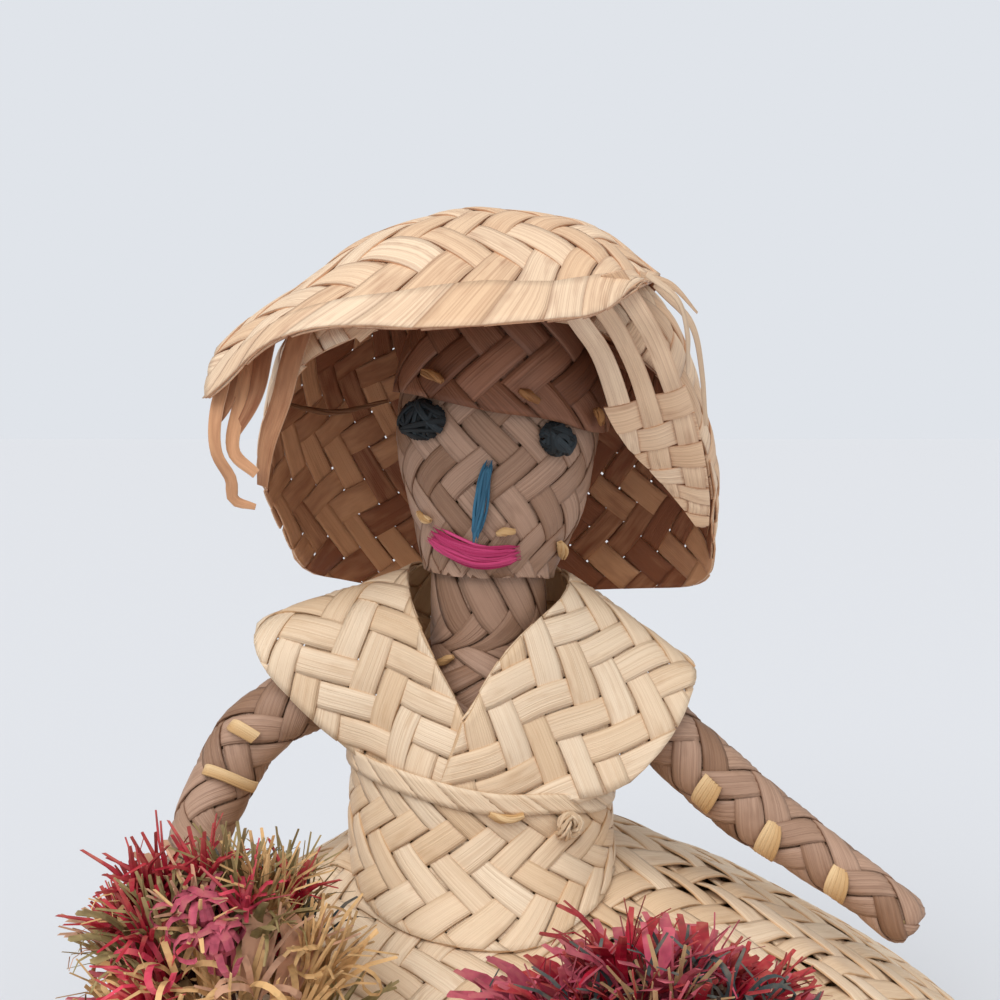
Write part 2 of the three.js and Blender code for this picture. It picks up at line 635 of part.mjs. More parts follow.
function arm(side, points) {
  const path = new THREE.CatmullRomCurve3(points);
  const place = along(path);
  // Row 0 is the middle of the hand's flat end, and the other rows run from there to the shoulder
  const rows = 12;
  const ring = (u, row, inset) => {
    const end = 1 - inset / path.getLength();
    const t = end * THREE.MathUtils.clamp((rows - row) / (rows - 1), 0, 1);
    const radius = row === 0 || row > rows ? 0 : armRadius(t) - inset;
    return place(t, turn(u), radius);
  };
  const sleeve = (inset) => (u, v) => ring(u, Math.round(v * rows), inset);
  add(doll, `${side}_arm_sheath`, cup(sleeve(0), sleeve(BROWN_MAT), 14, rows), BROWN);
  const roll = (u, v) => ring(u, Math.round(v * (rows + 1)), BROWN_MAT + FIT);
  add(doll, `${side}_arm_core`, pod(roll, 14, rows + 1), CORE_STRAW);
  const lacing = (t) => {
    const share = lerp(0.34, 0.92, t);
    const radius = armRadius(share) + FIT + LACING_RADIUS * STRAND_CLEAR;
    return place(share, turn(LACING_TURNS * t), radius);
  };
  const name = `${side}_arm_lacing`;
  add(doll, name, wound(lacing, LACING_TURNS, LACING_RADIUS, 44, 5, name), RAFFIA_GOLD);
  return path;
}

// An arm leaves the shoulder level, so that its flat end lies along the sheath
const shoulder = (side, drop, out) => vec(side * (SHOULDER_REACH + out), 0, SHOULDER_HEIGHT - drop);
arm("left", [
  shoulder(1, 2, 0), shoulder(1, 2, ARM_ROOT_RADIUS), vec(43, -0.5, 93), vec(60, -3, 78.4),
  vec(82.5, -8, 63.5), vec(91, -11, 57),
]);
const rightArm = arm("right", [
  shoulder(-1, 0, 0), shoulder(-1, 0, ARM_ROOT_RADIUS), vec(-44.5, -1.5, 100), vec(-55, -5, 86),
  vec(-58.5, -11, 75), vec(-56, -20, 68), vec(-51.5, -28, 65.5),
]);

// Bouquets: straw blades grow from every bare face of a round core, over a bound stem
function bouquet(seed, clear) {
  const ball = new THREE.IcosahedronGeometry(BUNCH_CORE, 4);
  ball.deleteAttribute("normal");
  ball.deleteAttribute("uv");
  const core = mergeVertices(ball, MERGE);
  const points = [];
  for (let i = 0; i < core.attributes.position.count; i++) {
    points.push(vec().fromBufferAttribute(core.attributes.position, i));
  }
  const faces = [];
  const index = core.index.array;
  for (let i = 0; i < index.length; i += 3) {
    const base = [index[i], index[i + 1], index[i + 2]];
    const middle = vec(0, 0, 0);
    base.forEach((k) => middle.addScaledVector(points[k], 1 / 3));
    const out = middle.clone().normalize();
    if (out.z < BUNCH_BARE || out.dot(clear) < BUNCH_CLEAR) {
      faces.push(...base);
      continue;
    }
    const length = BUNCH_BLADE * (0.82 + 0.18 * Math.sin(7.3 * i + seed));
    const tips = base.map((k) => {
      const tip = points[k].clone().sub(middle).multiplyScalar(0.45).add(middle).addScaledVector(out, length);
      points.push(tip);
      return points.length - 1;
    });
    for (let k = 0; k < 3; k++) {
      const next = (k + 1) % 3;
      faces.push(base[k], base[next], tips[next], base[k], tips[next], tips[k]);
    }
    faces.push(...tips);
  }
  const blades = new THREE.BufferGeometry().setFromPoints(points);
  blades.setIndex(faces);
  blades.translate(0, 0, BUNCH_STEM + 0.8 * BUNCH_CORE);
  const stem = new THREE.CylinderGeometry(BUNCH_STEM_RADIUS, BUNCH_STEM_RADIUS, BUNCH_STEM + 2, 16);
  stem.deleteAttribute("normal");
  stem.deleteAttribute("uv");
  stem.rotateX(Math.PI / 2).translate(0, 0, BUNCH_STEM / 2 + 1);
  return joined(turnedOut(blades), turnedOut(mergeVertices(stem, MERGE)));
}

// The bouquet stands on its stem's end, with its blades towards the given direction
function placeBouquet(name, foot, direction, away, seed) {
  const group = new THREE.Group();
  group.position.copy(foot);
  group.quaternion.setFromUnitVectors(vec(0, 0, 1), direction.clone().normalize());
  doll.add(group);
  const clear = away.clone().applyQuaternion(group.quaternion.clone().invert());
  add(group, name, bouquet(seed, clear), DYED);
  const radius = BUNCH_STEM_RADIUS + FIT + BINDING_RADIUS * STRAND_CLEAR;
  const from = BINDING_RADIUS + FIT;
  const binding = (t) => {
    const angle = turn(BINDING_TURNS * t);
    const height = from + BINDING_STEP * BINDING_TURNS * t;
    return vec(radius * Math.cos(angle), radius * Math.sin(angle), height);
  };
  const tie = `${name}_tie`;
  add(group, tie, wound(binding, BINDING_TURNS, BINDING_RADIUS, 42, 5, tie), RAFFIA_GOLD);
}

const wrist = rightArm.getPointAt(1);
const pointing = rightArm.getTangentAt(1);
const HAND_BUNCH_U = 0.61; // the place on the skirt that lies under the hand
const HAND_BUNCH_V = 0.28;
const awayFromSkirt = normalAt(skirtSurface, HAND_BUNCH_U, HAND_BUNCH_V);
placeBouquet("hand_bunch", wrist.addScaledVector(pointing, FIT), pointing, awayFromSkirt, 0.4);

const SKIRT_BUNCH_RISE = 0.5; // how far the bouquet is turned up from the skirt's own direction
const SKIRT_BUNCH_U = 0.79;
const SKIRT_BUNCH_V = 0.35;
const bunchNormal = normalAt(skirtSurface, SKIRT_BUNCH_U, SKIRT_BUNCH_V);
const bunchFoot = lifted(skirtSurface, 3 * FIT)(SKIRT_BUNCH_U, SKIRT_BUNCH_V);
const bunchUp = bunchNormal.clone().add(vec(0, 0, SKIRT_BUNCH_RISE));
placeBouquet("skirt_bunch", bunchFoot, bunchUp, bunchNormal, 1.7);

export default part;
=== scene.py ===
import json
import math

import bpy
import numpy as np
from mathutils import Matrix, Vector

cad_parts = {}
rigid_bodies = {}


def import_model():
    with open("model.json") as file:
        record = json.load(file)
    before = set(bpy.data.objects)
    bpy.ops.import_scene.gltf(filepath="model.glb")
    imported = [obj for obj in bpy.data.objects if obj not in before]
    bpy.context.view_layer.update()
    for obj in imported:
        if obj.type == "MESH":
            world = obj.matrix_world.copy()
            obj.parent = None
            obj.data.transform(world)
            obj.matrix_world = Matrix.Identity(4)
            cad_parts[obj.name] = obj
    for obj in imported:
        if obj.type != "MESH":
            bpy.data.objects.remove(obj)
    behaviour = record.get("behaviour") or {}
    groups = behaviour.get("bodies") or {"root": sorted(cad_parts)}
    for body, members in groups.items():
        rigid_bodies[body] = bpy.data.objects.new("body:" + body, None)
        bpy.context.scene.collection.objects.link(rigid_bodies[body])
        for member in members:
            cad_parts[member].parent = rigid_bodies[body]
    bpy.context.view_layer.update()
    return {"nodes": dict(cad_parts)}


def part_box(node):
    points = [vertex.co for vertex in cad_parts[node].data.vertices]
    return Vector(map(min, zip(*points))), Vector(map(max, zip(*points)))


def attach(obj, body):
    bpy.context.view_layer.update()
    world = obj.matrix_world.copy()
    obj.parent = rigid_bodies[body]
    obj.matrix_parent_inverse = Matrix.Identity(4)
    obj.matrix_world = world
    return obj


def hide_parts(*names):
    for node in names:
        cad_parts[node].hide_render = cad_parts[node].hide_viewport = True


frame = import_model()

# Skirt
# A wide bell, plaited over two and under two from split natural leaf that runs slantwise from
# the waist to the floor. The flat strips lie close, with a dark slit where one dips under another.

MM = 0.001
TORSO_X = -16.0  # the torso's middle, from the hem's centre
MAT = 1.6  # thickness of a plaited mat
LEAF = 0.42  # thickness of one strip
RISE = 0.4  # how far a strip goes up and down as it crosses the others
STRAY = 0.4  # how far the places of a hand-made mat are off
SLOPE = math.sqrt(0.5)  # share of a strip's length that it goes up the mat


def linear(code):
    """The colour of a sRGB hex code, as a shader takes it."""
    shares = [int(code[i:i + 2], 16) / 255 for i in (1, 3, 5)]
    return tuple(c / 12.92 if c <= 0.04045 else ((c + 0.055) / 1.055) ** 2.4 for c in shares) + (1.0,)


def add(tree, kind, inputs=None, **settings):
    """Adds a node with its settings, and sets or links its inputs."""
    made = tree.nodes.new(kind)
    for key, value in settings.items():
        setattr(made, key, value)
    for key, value in (inputs or {}).items():
        if isinstance(value, bpy.types.NodeSocket):
            tree.links.new(value, made.inputs[key])
        else:
            made.inputs[key].default_value = value
    return made


def bare_finish(name, rough):
    """A new material of one roughness, with its node tree and its shader."""
    material = bpy.data.materials.new(name)
    material.use_nodes = True
    skin = material.node_tree.nodes["Principled BSDF"]
    skin.inputs["Roughness"].default_value = rough
    return material, material.node_tree, skin


def stain_and_shade_layer(tree, colour, overlay, pattern, low, high, share=1.0):
    """A colour laid over another, used for stains and also for painted shade: none where a pattern is at low,
    its full share at high.
    """
    worn = add(tree, "ShaderNodeMapRange", {0: pattern, 1: low, 2: high, 3: 0.0, 4: share}).outputs[0]
    return add(tree, "ShaderNodeMix", {0: worn, 6: colour, 7: overlay}, data_type="RGBA").outputs[2]


def leaf_finish(name, light, dark, under, stain_and_shade_colour, half_width=3.3, rough=0.5):
    """Split leaf: fibres along the strip, tones differ by strip, stains darker; edges darker, part wear, part
    painted shade.
    """
    material, tree, skin = bare_finish(name, rough)
    light, dark, under, stain_and_shade_colour = (linear(code) for code in (light, dark, under, stain_and_shade_colour))
    across, along, shade, side = (add(tree, "ShaderNodeAttribute", attribute_name=key).outputs["Fac"]
                                  for key in ("across", "along", "shade", "under"))

    def grain(fine, long):
        """Noise that is fine across the strip and long along it, in millimetres, and new for each shade."""
        scales = ((across, half_width / fine), (along, 1 / long), (shade, 70.0))
        parts = [add(tree, "ShaderNodeMath", {0: value, 1: scale}, operation="MULTIPLY").outputs[0]
                 for value, scale in scales]
        place = add(tree, "ShaderNodeCombineXYZ", dict(enumerate(parts))).outputs[0]
        return add(tree, "ShaderNodeTexNoise", {"Vector": place, "Scale": 1.0, "Detail": 2.0}).outputs[0]

    fibre = grain(0.25, 60.0)
    spots = grain(2.2, 9.0)
    # The strips' edges are darkened, partly as wear and partly as painted shade along the slits between
    # strips.
    off_middle = add(tree, "ShaderNodeMath", {0: across}, operation="ABSOLUTE").outputs[0]
    edge = add(tree, "ShaderNodeMath", {0: off_middle, 1: 9.0}, operation="POWER").outputs[0]
    mottled = add(tree, "ShaderNodeMath", {0: shade, 1: spots}, operation="ADD").outputs[0]
    colour = stain_and_shade_layer(tree, light, dark, shade, 0.0, 1.0)
    colour = stain_and_shade_layer(tree, colour, stain_and_shade_colour, fibre, 0.42, 0.8, 0.5)
    colour = stain_and_shade_layer(tree, colour, stain_and_shade_colour, spots, 0.56, 0.8, 0.4)
    colour = stain_and_shade_layer(tree, colour, stain_and_shade_colour, edge, 0.0, 1.0, 0.3)
    # The underside gets its own darker colour, mottled with the stain colour: painted shade for the hat's
    # inside and for strips that show their backs.
    back = stain_and_shade_layer(tree, under, stain_and_shade_colour, mottled, 0.6, 1.4)
    colour = stain_and_shade_layer(tree, colour, back, side, 0.0, 1.0)
    tree.links.new(colour, skin.inputs["Base Color"])
    skin.inputs["Specular IOR Level"].default_value = 0.35
    bump = add(tree, "ShaderNodeBump", {"Height": fibre, "Strength": 0.7, "Distance": 0.0003})
    tree.links.new(bump.outputs[0], skin.inputs["Normal"])
    return material


def lerp(a, b, t):
    """What lies at a share t of the way from a to b."""
    return a + (b - a) * t


def smooth(x, low, high):
    """Rises softly from 0 where x is low to 1 where it is high."""
    t = np.clip((x - low) / (high - low), 0, 1)
    return t * t * (3 - 2 * t)


def unit(v):
    """The same directions with length one."""
    return v / np.maximum(np.linalg.norm(v, axis=-1, keepdims=True), 1e-9)


def vec(*parts):
    """Points or directions from their parts."""
    return np.stack(np.broadcast_arrays(*(np.asarray(p, float) for p in parts)), axis=-1)


def crossing(family, s, b):
    """The mat's flat place at s along a strip and b across its family: two families at right angles."""
    return ((s - b) * SLOPE, (s + b) * SLOPE) if family == 0 else ((b - s) * SLOPE, (s + b) * SLOPE)


def weave(run):
    """A weave that goes over run strips and under run: one where a strip is over, minus one under."""

    def height(family, index, s, pitch):
        place = s / pitch - 0.5
        k = np.floor(place)
        over = lambda other: np.where((index + other) % (2 * run) < run, 1.0, -1.0)
        lift = lerp(over(k), over(k + 1), smooth(place - k, 0.0, 1.0))
        return lift if family == 0 else -lift

    return height


COLUMNS = np.array([-1.0, -0.6, 0.0, 0.6, 1.0])  # points across a strip, in halves of its width


def trimmed(room, reach, falling):
    """Where a strip's line meets the mat's edge, nearest to the middle of the places looked at."""
    inside = room > 0
    meets = (inside[:-1] & ~inside[1:]) if falling else (~inside[:-1] & inside[1:])
    found = np.flatnonzero(meets)
    if len(found) == 0:
        return reach[-1] if inside.all() == falling else reach[0]
    k = found[np.argmin(np.abs(found - len(reach) / 2))]
    return lerp(reach[k], reach[k + 1], room[k] / (room[k] - room[k + 1]))


def lattice(margin, pitch, rows, reach, seed, fill=0.95, per_cell=3, families=(0, 1), height=weave(2)):
    """The strips of a mat: flat places, heights and shades, each cut along the mat's own edges."""
    dice = np.random.default_rng(seed)
    strips = []
    for family in families:
        for index in range(*rows):
            middle = (index + 0.5) * pitch + dice.uniform(-0.15, 0.15)
            shade, fat = dice.uniform(0, 1), fill * dice.uniform(0.95, 1.02)
            half = COLUMNS * 0.5 * pitch * fat
            s = np.arange(reach[0], reach[1], 0.4)
            inside = margin(*crossing(family, s, middle)) > 0
            edges = np.flatnonzero(np.diff(np.r_[False, inside, False].astype(int)))
            for start, stop in zip(edges[::2], edges[1::2]):
                if s[stop - 1] - s[start] < 0.5 * pitch:
                    continue
                ends = []
                for at, falling in ((s[start], False), (s[stop - 1], True)):
                    near = at + np.linspace(-1.2, 1.2, 61) * pitch
                    ends.append([trimmed(margin(*crossing(family, near, middle + x)), near, falling)
                                 for x in half])
                count = max(2, int(np.ceil((s[stop - 1] - s[start]) / pitch * per_cell)))
                t = np.linspace(0, 1, count + 1)[:, None]
                run = lerp(np.array(ends[0])[None], np.array(ends[1])[None], t)
                p, q = crossing(family, run, middle + half[None])
                lift = height(family, index, run, pitch) + COLUMNS * dice.uniform(-0.2, 0.2)
                strips.append(dict(p=p, q=q, lift=lift, run=run, shade=shade, turned=family == 1))
    return strips


def on_chart(chart, p, q, lift, outward):
    """Points lifted off a chart, which gives the surface's point for a flat place."""
    step = 0.05
    right = chart(p + step, q) - chart(p - step, q)
    up = chart(p, q + step) - chart(p, q - step)
    return chart(p, q) + unit(np.cross(right, up)) * (outward * lift)[..., None]


def strayed(points):
    """The same places as a hand-made mat has them: a little off, in slow waves."""
    x, y, z = (points[..., i] for i in range(3))
    sway = vec(np.sin(z / 4.9 + x / 6.1), np.sin(x / 5.3 - z / 6.3 + 1),
               np.sin(y / 5.7 + x / 5.1 + 2) * smooth(z, 0.5, 8.0))
    return points + STRAY * sway


def note(mesh, **columns):
    """Writes numbers on a mesh's points, under a name for each row of them."""
    for key, values in columns.items():
        mesh.attributes.new(key, "FLOAT", "POINT").data.foreach_set("value", values)


def placed(name, data):
    """A new object in the scene for a mesh, a lamp or a camera."""
    thing = bpy.data.objects.new(name, data)
    bpy.context.scene.collection.objects.link(thing)
    return thing


def strip_mesh(name, strips, lay, finish, rise=RISE, level=0.0):
    """Closed strips of leaf: lay gives the points for a strip at a height."""
    corners, faces, soft = [], [], []
    notes = {key: [] for key in ("across", "along", "shade", "under")}
    base = 0
    bow = LEAF * 0.35 * (1 - COLUMNS[None] ** 2)
    for strip in strips:
        rows, cols = strip["p"].shape
        height = level + rise * strip["lift"] + bow
        count = rows * cols
        for side, lift in ((0, height + LEAF / 2), (1, height - LEAF / 2)):
            corners.append(lay(strip, lift).reshape(-1, 3))
            notes["across"].append(np.tile(COLUMNS, rows))
            notes["along"].append(strip["run"].ravel())
            notes["shade"].append(np.full(count, strip["shade"]))
            notes["under"].append(np.full(count, float(side)))
        grid = base + np.arange(count).reshape(rows, cols)
        low = grid + count
        a, b, c, d = grid[:-1, :-1], grid[1:, :-1], grid[1:, 1:], grid[:-1, 1:]
        top = np.stack([a, b, c, d], -1).reshape(-1, 4)
        quads = [top, top[:, ::-1] + count]
        for line, under, flip in ((grid[:, 0], low[:, 0], False), (grid[:, -1], low[:, -1], True),
                                  (grid[0], low[0], True), (grid[-1], low[-1], False)):
            rim = np.stack([line[:-1], under[:-1], under[1:], line[1:]], -1)
            quads.append(rim[:, ::-1] if flip else rim)
        soft += [True] * (2 * len(top)) + [False] * sum(len(q) for q in quads[2:])
        whole = np.concatenate(quads)
        faces.append(whole[:, ::-1] if strip["turned"] else whole)
        base += 2 * count
    mesh = bpy.data.meshes.new(name)
    points = (strayed(np.concatenate(corners)) + [TORSO_X, 0, 0]) * MM
    points[:, 2] = np.maximum(points[:, 2], 0.0)  # the hem stands on the floor
    mesh.from_pydata(points.tolist(), [], np.concatenate(faces).tolist())
    mesh.polygons.foreach_set("use_smooth", soft)
    note(mesh, **{key: np.concatenate(values) for key, values in notes.items()})
    mesh.materials.append(finish)
    return placed(name, mesh)


def plait(name, chart, margin, finish, pitch, rows, reach, seed,
          outward=1, level=0.0, rise=RISE, loose=None, **more):
    """A mat on a chart: its strips go over and under each other, and stand on edge where it is loose."""
    strips = lattice(margin, pitch, rows, reach, seed, **more)
    for strip in strips:
        strip["turned"] ^= outward < 0
        if loose:
            share = loose(strip["p"], strip["q"])
            strip["lift"] = strip["lift"] * (1 + share) - 1.5 * share * COLUMNS
    lay = lambda strip, lift: on_chart(chart, strip["p"], strip["q"], lift, outward)
    return strip_mesh(name, strips, lay, finish, rise=rise, level=level)


def settle(piece, body, slot, *nodes):
    """Fixes a finished piece to its body, in place of the nodes it stands for."""
    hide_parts(*nodes)
    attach(piece, body)


SKIRT_HEIGHT, WAIST_RADIUS, HEM_RADIUS, WAIST_TILT = 71.0, 25.0, 112.0, 8.0
SKIRT_PITCH = 6.4
OVERRUN = 9.0  # how far past a mat's edges its strips are looked for


def skirt_at(radius, angle):
    """The skirt's outside at a radius and an angle round the torso, which is off the hem's centre."""
    spread = (radius - WAIST_RADIUS) / (HEM_RADIUS - WAIST_RADIUS)
    rise = 1 - spread
    height = SKIRT_HEIGHT * np.sqrt(np.maximum(rise, 0)) + WAIST_TILT * rise * np.sin(angle)
    return vec(radius * np.cos(angle) - TORSO_X * spread, radius * np.sin(angle), height)


def skirt_surface(angle, v):
    """The skirt's outside at an angle, from the waist, v = 0, to the hem."""
    rise = (1 - v) ** 2
    place = skirt_at(lerp(HEM_RADIUS, WAIST_RADIUS, rise), angle)
    place[..., 2] = SKIRT_HEIGHT * (1 - v) + WAIST_TILT * rise * np.sin(angle)
    return place


def run_along(points):
    """How far the points of a path are from its start, along it."""
    return np.r_[0, np.cumsum(np.linalg.norm(np.diff(points, axis=0), axis=1))]


skirt_steps = np.linspace(0, 1, 201)
skirt_run = np.mean([run_along(skirt_surface(angle, skirt_steps))
                     for angle in np.linspace(0, 2 * np.pi, 16, endpoint=False)], axis=0)
SKIRT_REACH = WAIST_RADIUS + skirt_run[-1]


def skirt_chart(p, q):
    """The skirt laid flat as a disc, with the waist as a hole in its middle."""
    v = np.interp(np.hypot(p, q) - WAIST_RADIUS, skirt_run, skirt_steps)
    return skirt_surface(np.arctan2(q, p), v)


def skirt_margin(p, q):
    out = np.hypot(p, q)
    return np.minimum(out - WAIST_RADIUS, SKIRT_REACH - 0.7 - out)


def skirt_loose(p, q):
    """Here and there at the doll's left and front, the strips have worked loose and stand on edge."""
    out, angle = np.hypot(p, q), np.arctan2(q, p)
    zone = smooth(out, 30, 38) * smooth(-out, -100, -60) * smooth(-np.abs(angle + 0.5), -1.0, -0.5)
    return zone * smooth(np.sin(p / 6.0) * np.sin(q / 8.0 + 1.0), -0.2, 0.6)


# Split leaf of natural straw, dried to cream: matt, with fibres that catch the light lengthwise
natural_leaf = leaf_finish("natural straw, split leaf", "#F2DDC2", "#E3C5A2", "#D2AE84", "#BE9468")
skirt_rows = int(SKIRT_REACH / SKIRT_PITCH) + 1
skirt = plait("skirt_plait", skirt_chart, skirt_margin, natural_leaf, SKIRT_PITCH, (-skirt_rows, skirt_rows),
              (-SKIRT_REACH - OVERRUN, SKIRT_REACH + OVERRUN), 3, level=-MAT / 2, fill=0.9, loose=skirt_loose)
settle(skirt, "body", "natural_straw", "skirt")

# Bodice
# A band of the same plait, stood round the torso above the waist. It slants down to the doll's
# left, and its lower edge flares onto the skirt.


def on_tube(surface, girth, depth):
    """Chart and margin of a tube: p runs round it and q from its first edge to its second."""
    chart = lambda p, q: surface(2 * np.pi * p / girth, q / depth)
    return chart, lambda p, q: np.minimum(q, depth - q) + 0 * p


def tube_plait(name, surface, girth, depth, count, finish, seed, **more):
    """A tube's mat, with count strips in each family."""
    pitch = girth * SLOPE / count
    chart, margin = on_tube(surface, girth, depth)
    reach = (-girth * SLOPE - OVERRUN, depth / SLOPE + OVERRUN)
    return plait(name, chart, margin, finish, pitch, (0, count), reach, seed, **more)


BODICE_GIRTH, BODICE_DEPTH = 163.0, 33.0  # the band's length round the torso and its height
BODICE_TOP, BODICE_SLANT = 89.5, 0.16


def bodice_top(x):
    """The height of the upper edge at a place across the doll."""
    return BODICE_TOP - BODICE_SLANT * x


def bodice_surface(angle, v):
    """The band's outside from its upper edge, v = 0, to its edge on the skirt."""
    x, y = 28.3 * np.cos(angle), 23.5 * np.sin(angle)
    hem = skirt_at(lerp(28.7, 33.5, np.sin(angle) ** 2), angle)
    flare = v ** 3
    height = lerp(bodice_top(x), hem[..., 2] + 1, v)
    return vec(lerp(x, hem[..., 0], flare), lerp(y, hem[..., 1], flare), height)


bodice_mat = tube_plait("bodice_plait", bodice_surface, BODICE_GIRTH, BODICE_DEPTH, 21, natural_leaf, 5,
                        outward=-1, level=-MAT / 2)

# Torso and neck
# The torso is a tight roll of leaf, hidden but for a little of it above the bodice. A brown
# plaited sheath covers the shoulders and the neck.

BROWN_MAT = 1.5  # thickness of a brown mat
FIT = 0.3  # room between two pieces
NECK_SHIFT = 2.0  # from the torso's middle to the neck's, to the doll's left


def rolled_finish(name, light, dark):
    """A roll of crushed leaf: long fibres up and down in two browns."""
    material, tree, skin = bare_finish(name, 0.8)
    place = add(tree, "ShaderNodeTexCoord").outputs["Object"]
    long = add(tree, "ShaderNodeMapping", {"Vector": place, "Scale": (1.0, 1.0, 0.08)}).outputs[0]
    fibre = add(tree, "ShaderNodeTexNoise", {"Vector": long, "Scale": 900.0, "Detail": 3.0}).outputs[0]
    colour = stain_and_shade_layer(tree, linear(light), linear(dark), fibre, 0.35, 0.65)
    tree.links.new(colour, skin.inputs["Base Color"])
    bump = add(tree, "ShaderNodeBump", {"Height": fibre, "Strength": 0.6, "Distance": 0.0004})
    tree.links.new(bump.outputs[0], skin.inputs["Normal"])
    return material


# Rolled waste leaf, brown and tan in streaks along the roll
core_leaf = rolled_finish("core straw, rolled leaf", "#B89A6C", "#6E4E34")
for node_name in ("torso_roll", "head_stuffing", "left_arm_core", "right_arm_core"):
    node = frame["nodes"][node_name]
    node.data.materials.clear()
    node.data.materials.append(core_leaf)

TORSO_PROFILE = np.array([  # half width and height
    (19.9, 48), (23.9, 55), (23.9, 79), (26.4, 86), (23.4, 97), (18.28, 107), (12.2, 114), (10.6, 120),
    (10.6, 137), (10.6, 142),
])


def torso_surface(angle, t):
    """The roll's outside from its foot, t = 0, to its top."""
    last = len(TORSO_PROFILE) - 1
    place = np.clip(t, 0, 1) * last
    k = np.minimum(np.floor(place).astype(int), last - 1)
    w = (place - k)[..., None]
    p0, p1, p2, p3 = (TORSO_PROFILE[np.clip(k + i, 0, last)] for i in (-1, 0, 1, 2))
    v0, v1 = (p2 - p0) / 2, (p3 - p1) / 2
    at = (2 * p1 - 2 * p2 + v0 + v1) * w ** 3 + (-3 * p1 + 3 * p2 - 2 * v0 - v1) * w ** 2 + v0 * w + p1
    neck = smooth(at[..., 1], 100.0, 118.0)
    depth = lerp(0.76, 1.0, neck)
    half = at[..., 0]
    return vec(half * np.cos(angle) + NECK_SHIFT * neck, half * depth * np.sin(angle), at[..., 1])


def sheath_surface(angle, v):
    """The part of the roll that the sheath covers, from its top down."""
    return torso_surface(angle + 0 * v, lerp(8 / 9, 4 / 9, v))


# The same leaf, smoked brown before it was split: duller, with paler worn fibres
brown_leaf = leaf_finish("brown straw, smoked leaf", "#BA9882", "#926F57", "#75543F", "#654430", 2.4, 0.5)
neck = tube_plait("neck_plait", sheath_surface, 82.0, 44.0, 10, brown_leaf, 7, outward=-1,
                  level=FIT + BROWN_MAT / 2, rise=0.36)
settle(neck, "body", "brown_straw", "neck_sheath")

# Head
# An egg of brown plait, open round the neck, with a second band of plait low over the forehead.
# The head leans a little to the doll's left.

HEAD_BASE, HEAD_HEIGHT, CHEEK_HEIGHT, HEAD_HALF, HEAD_OPENING = 131.0, 65.0, 34.0, 21.7, 14.2
HEAD_TOP = 60.0  # height up the head at which its mats end, under the hat
HEAD_GIRTH = 126.0
LEAN = math.radians(4)


def head_half(z):
    """Half the head's width at a height."""
    low = HEAD_OPENING + (HEAD_HALF - HEAD_OPENING) * np.sin(np.pi / 2 * z / CHEEK_HEIGHT)
    up = (z - CHEEK_HEIGHT) / (HEAD_HEIGHT - CHEEK_HEIGHT)
    return np.where(z < CHEEK_HEIGHT, low, HEAD_HALF * np.sqrt(np.maximum(0, 1 - up * up)))


def head_at(angle, z):
    """A point of the head's outside, in the torso's frame."""
    half = head_half(z)
    depth = half * lerp(1.0, 0.86, smooth(z, 0.0, CHEEK_HEIGHT / 2))
    x, y = half * np.cos(angle), depth * np.sin(angle)
    side = x * math.cos(LEAN) + z * math.sin(LEAN)
    up = z * math.cos(LEAN) - x * math.sin(LEAN)
    return vec(side + NECK_SHIFT, y, up + HEAD_BASE)


head_steps = np.linspace(0, 0.995, 200) * HEAD_HEIGHT
head_run = run_along(head_at(-np.pi / 2, head_steps))
HEAD_CUT = np.interp(HEAD_TOP, head_steps, head_run)


def head_chart(p, q):
    """The head unrolled: p runs round it and q up it."""
    return head_at(2 * np.pi * p / HEAD_GIRTH, np.interp(q, head_run, head_steps))


def head_plait(name, low, level, count, seed, finish):
    """A mat on the head, from a slanted lower edge to near the top."""
    pitch = HEAD_GIRTH * SLOPE / count

    def margin(p, q):
        z = np.interp(q, head_run, head_steps)
        return np.minimum(z - low(HEAD_HALF * np.cos(2 * np.pi * p / HEAD_GIRTH)), HEAD_TOP - z)

    reach = (-HEAD_GIRTH * SLOPE - OVERRUN, HEAD_CUT / SLOPE + OVERRUN)
    return plait(name, head_chart, margin, finish, pitch, (0, count), reach, seed, level=level, rise=0.36)


head_mat = head_plait("head_plait", lambda x: 0 * x, -BROWN_MAT / 2, 16, 11, brown_leaf)
settle(head_mat, "head", "brown_straw", "head_sheath")
# Leaf darker than the face's: deep brown, with a slight gloss
deep_leaf = leaf_finish("brown straw, deep smoked leaf", "#A8755A", "#7E5038", "#5A3826", "#4A2C1C",
                        half_width=2.4, rough=0.45)
WRAP_EDGE, WRAP_SLANT = 33.9, 0.13
wrap_mat = head_plait("headwrap_plait", lambda x: WRAP_EDGE - WRAP_SLANT * x, FIT + BROWN_MAT / 2, 14, 12,
                      deep_leaf)
settle(wrap_mat, "head", "brown_straw", "headwrap")

# Face and stitches
# Eyes coiled from dark raffia, a thin blue nose and a pink mouth laid from a few strands each,
# and short tan stitches that hold the mats together.

STITCH_POINTS, STRAND_POINTS = 9, 25  # points along a stitch and along a longer strand
SECTION = np.array([  # a strip cut across, as shares of its width and thickness
    (-0.5, 0), (-0.46, -0.42), (-0.2, -0.5), (0.2, -0.5), (0.46, -0.42),
    (0.5, 0), (0.46, 0.42), (0.2, 0.5), (-0.2, 0.5), (-0.46, 0.42),
])


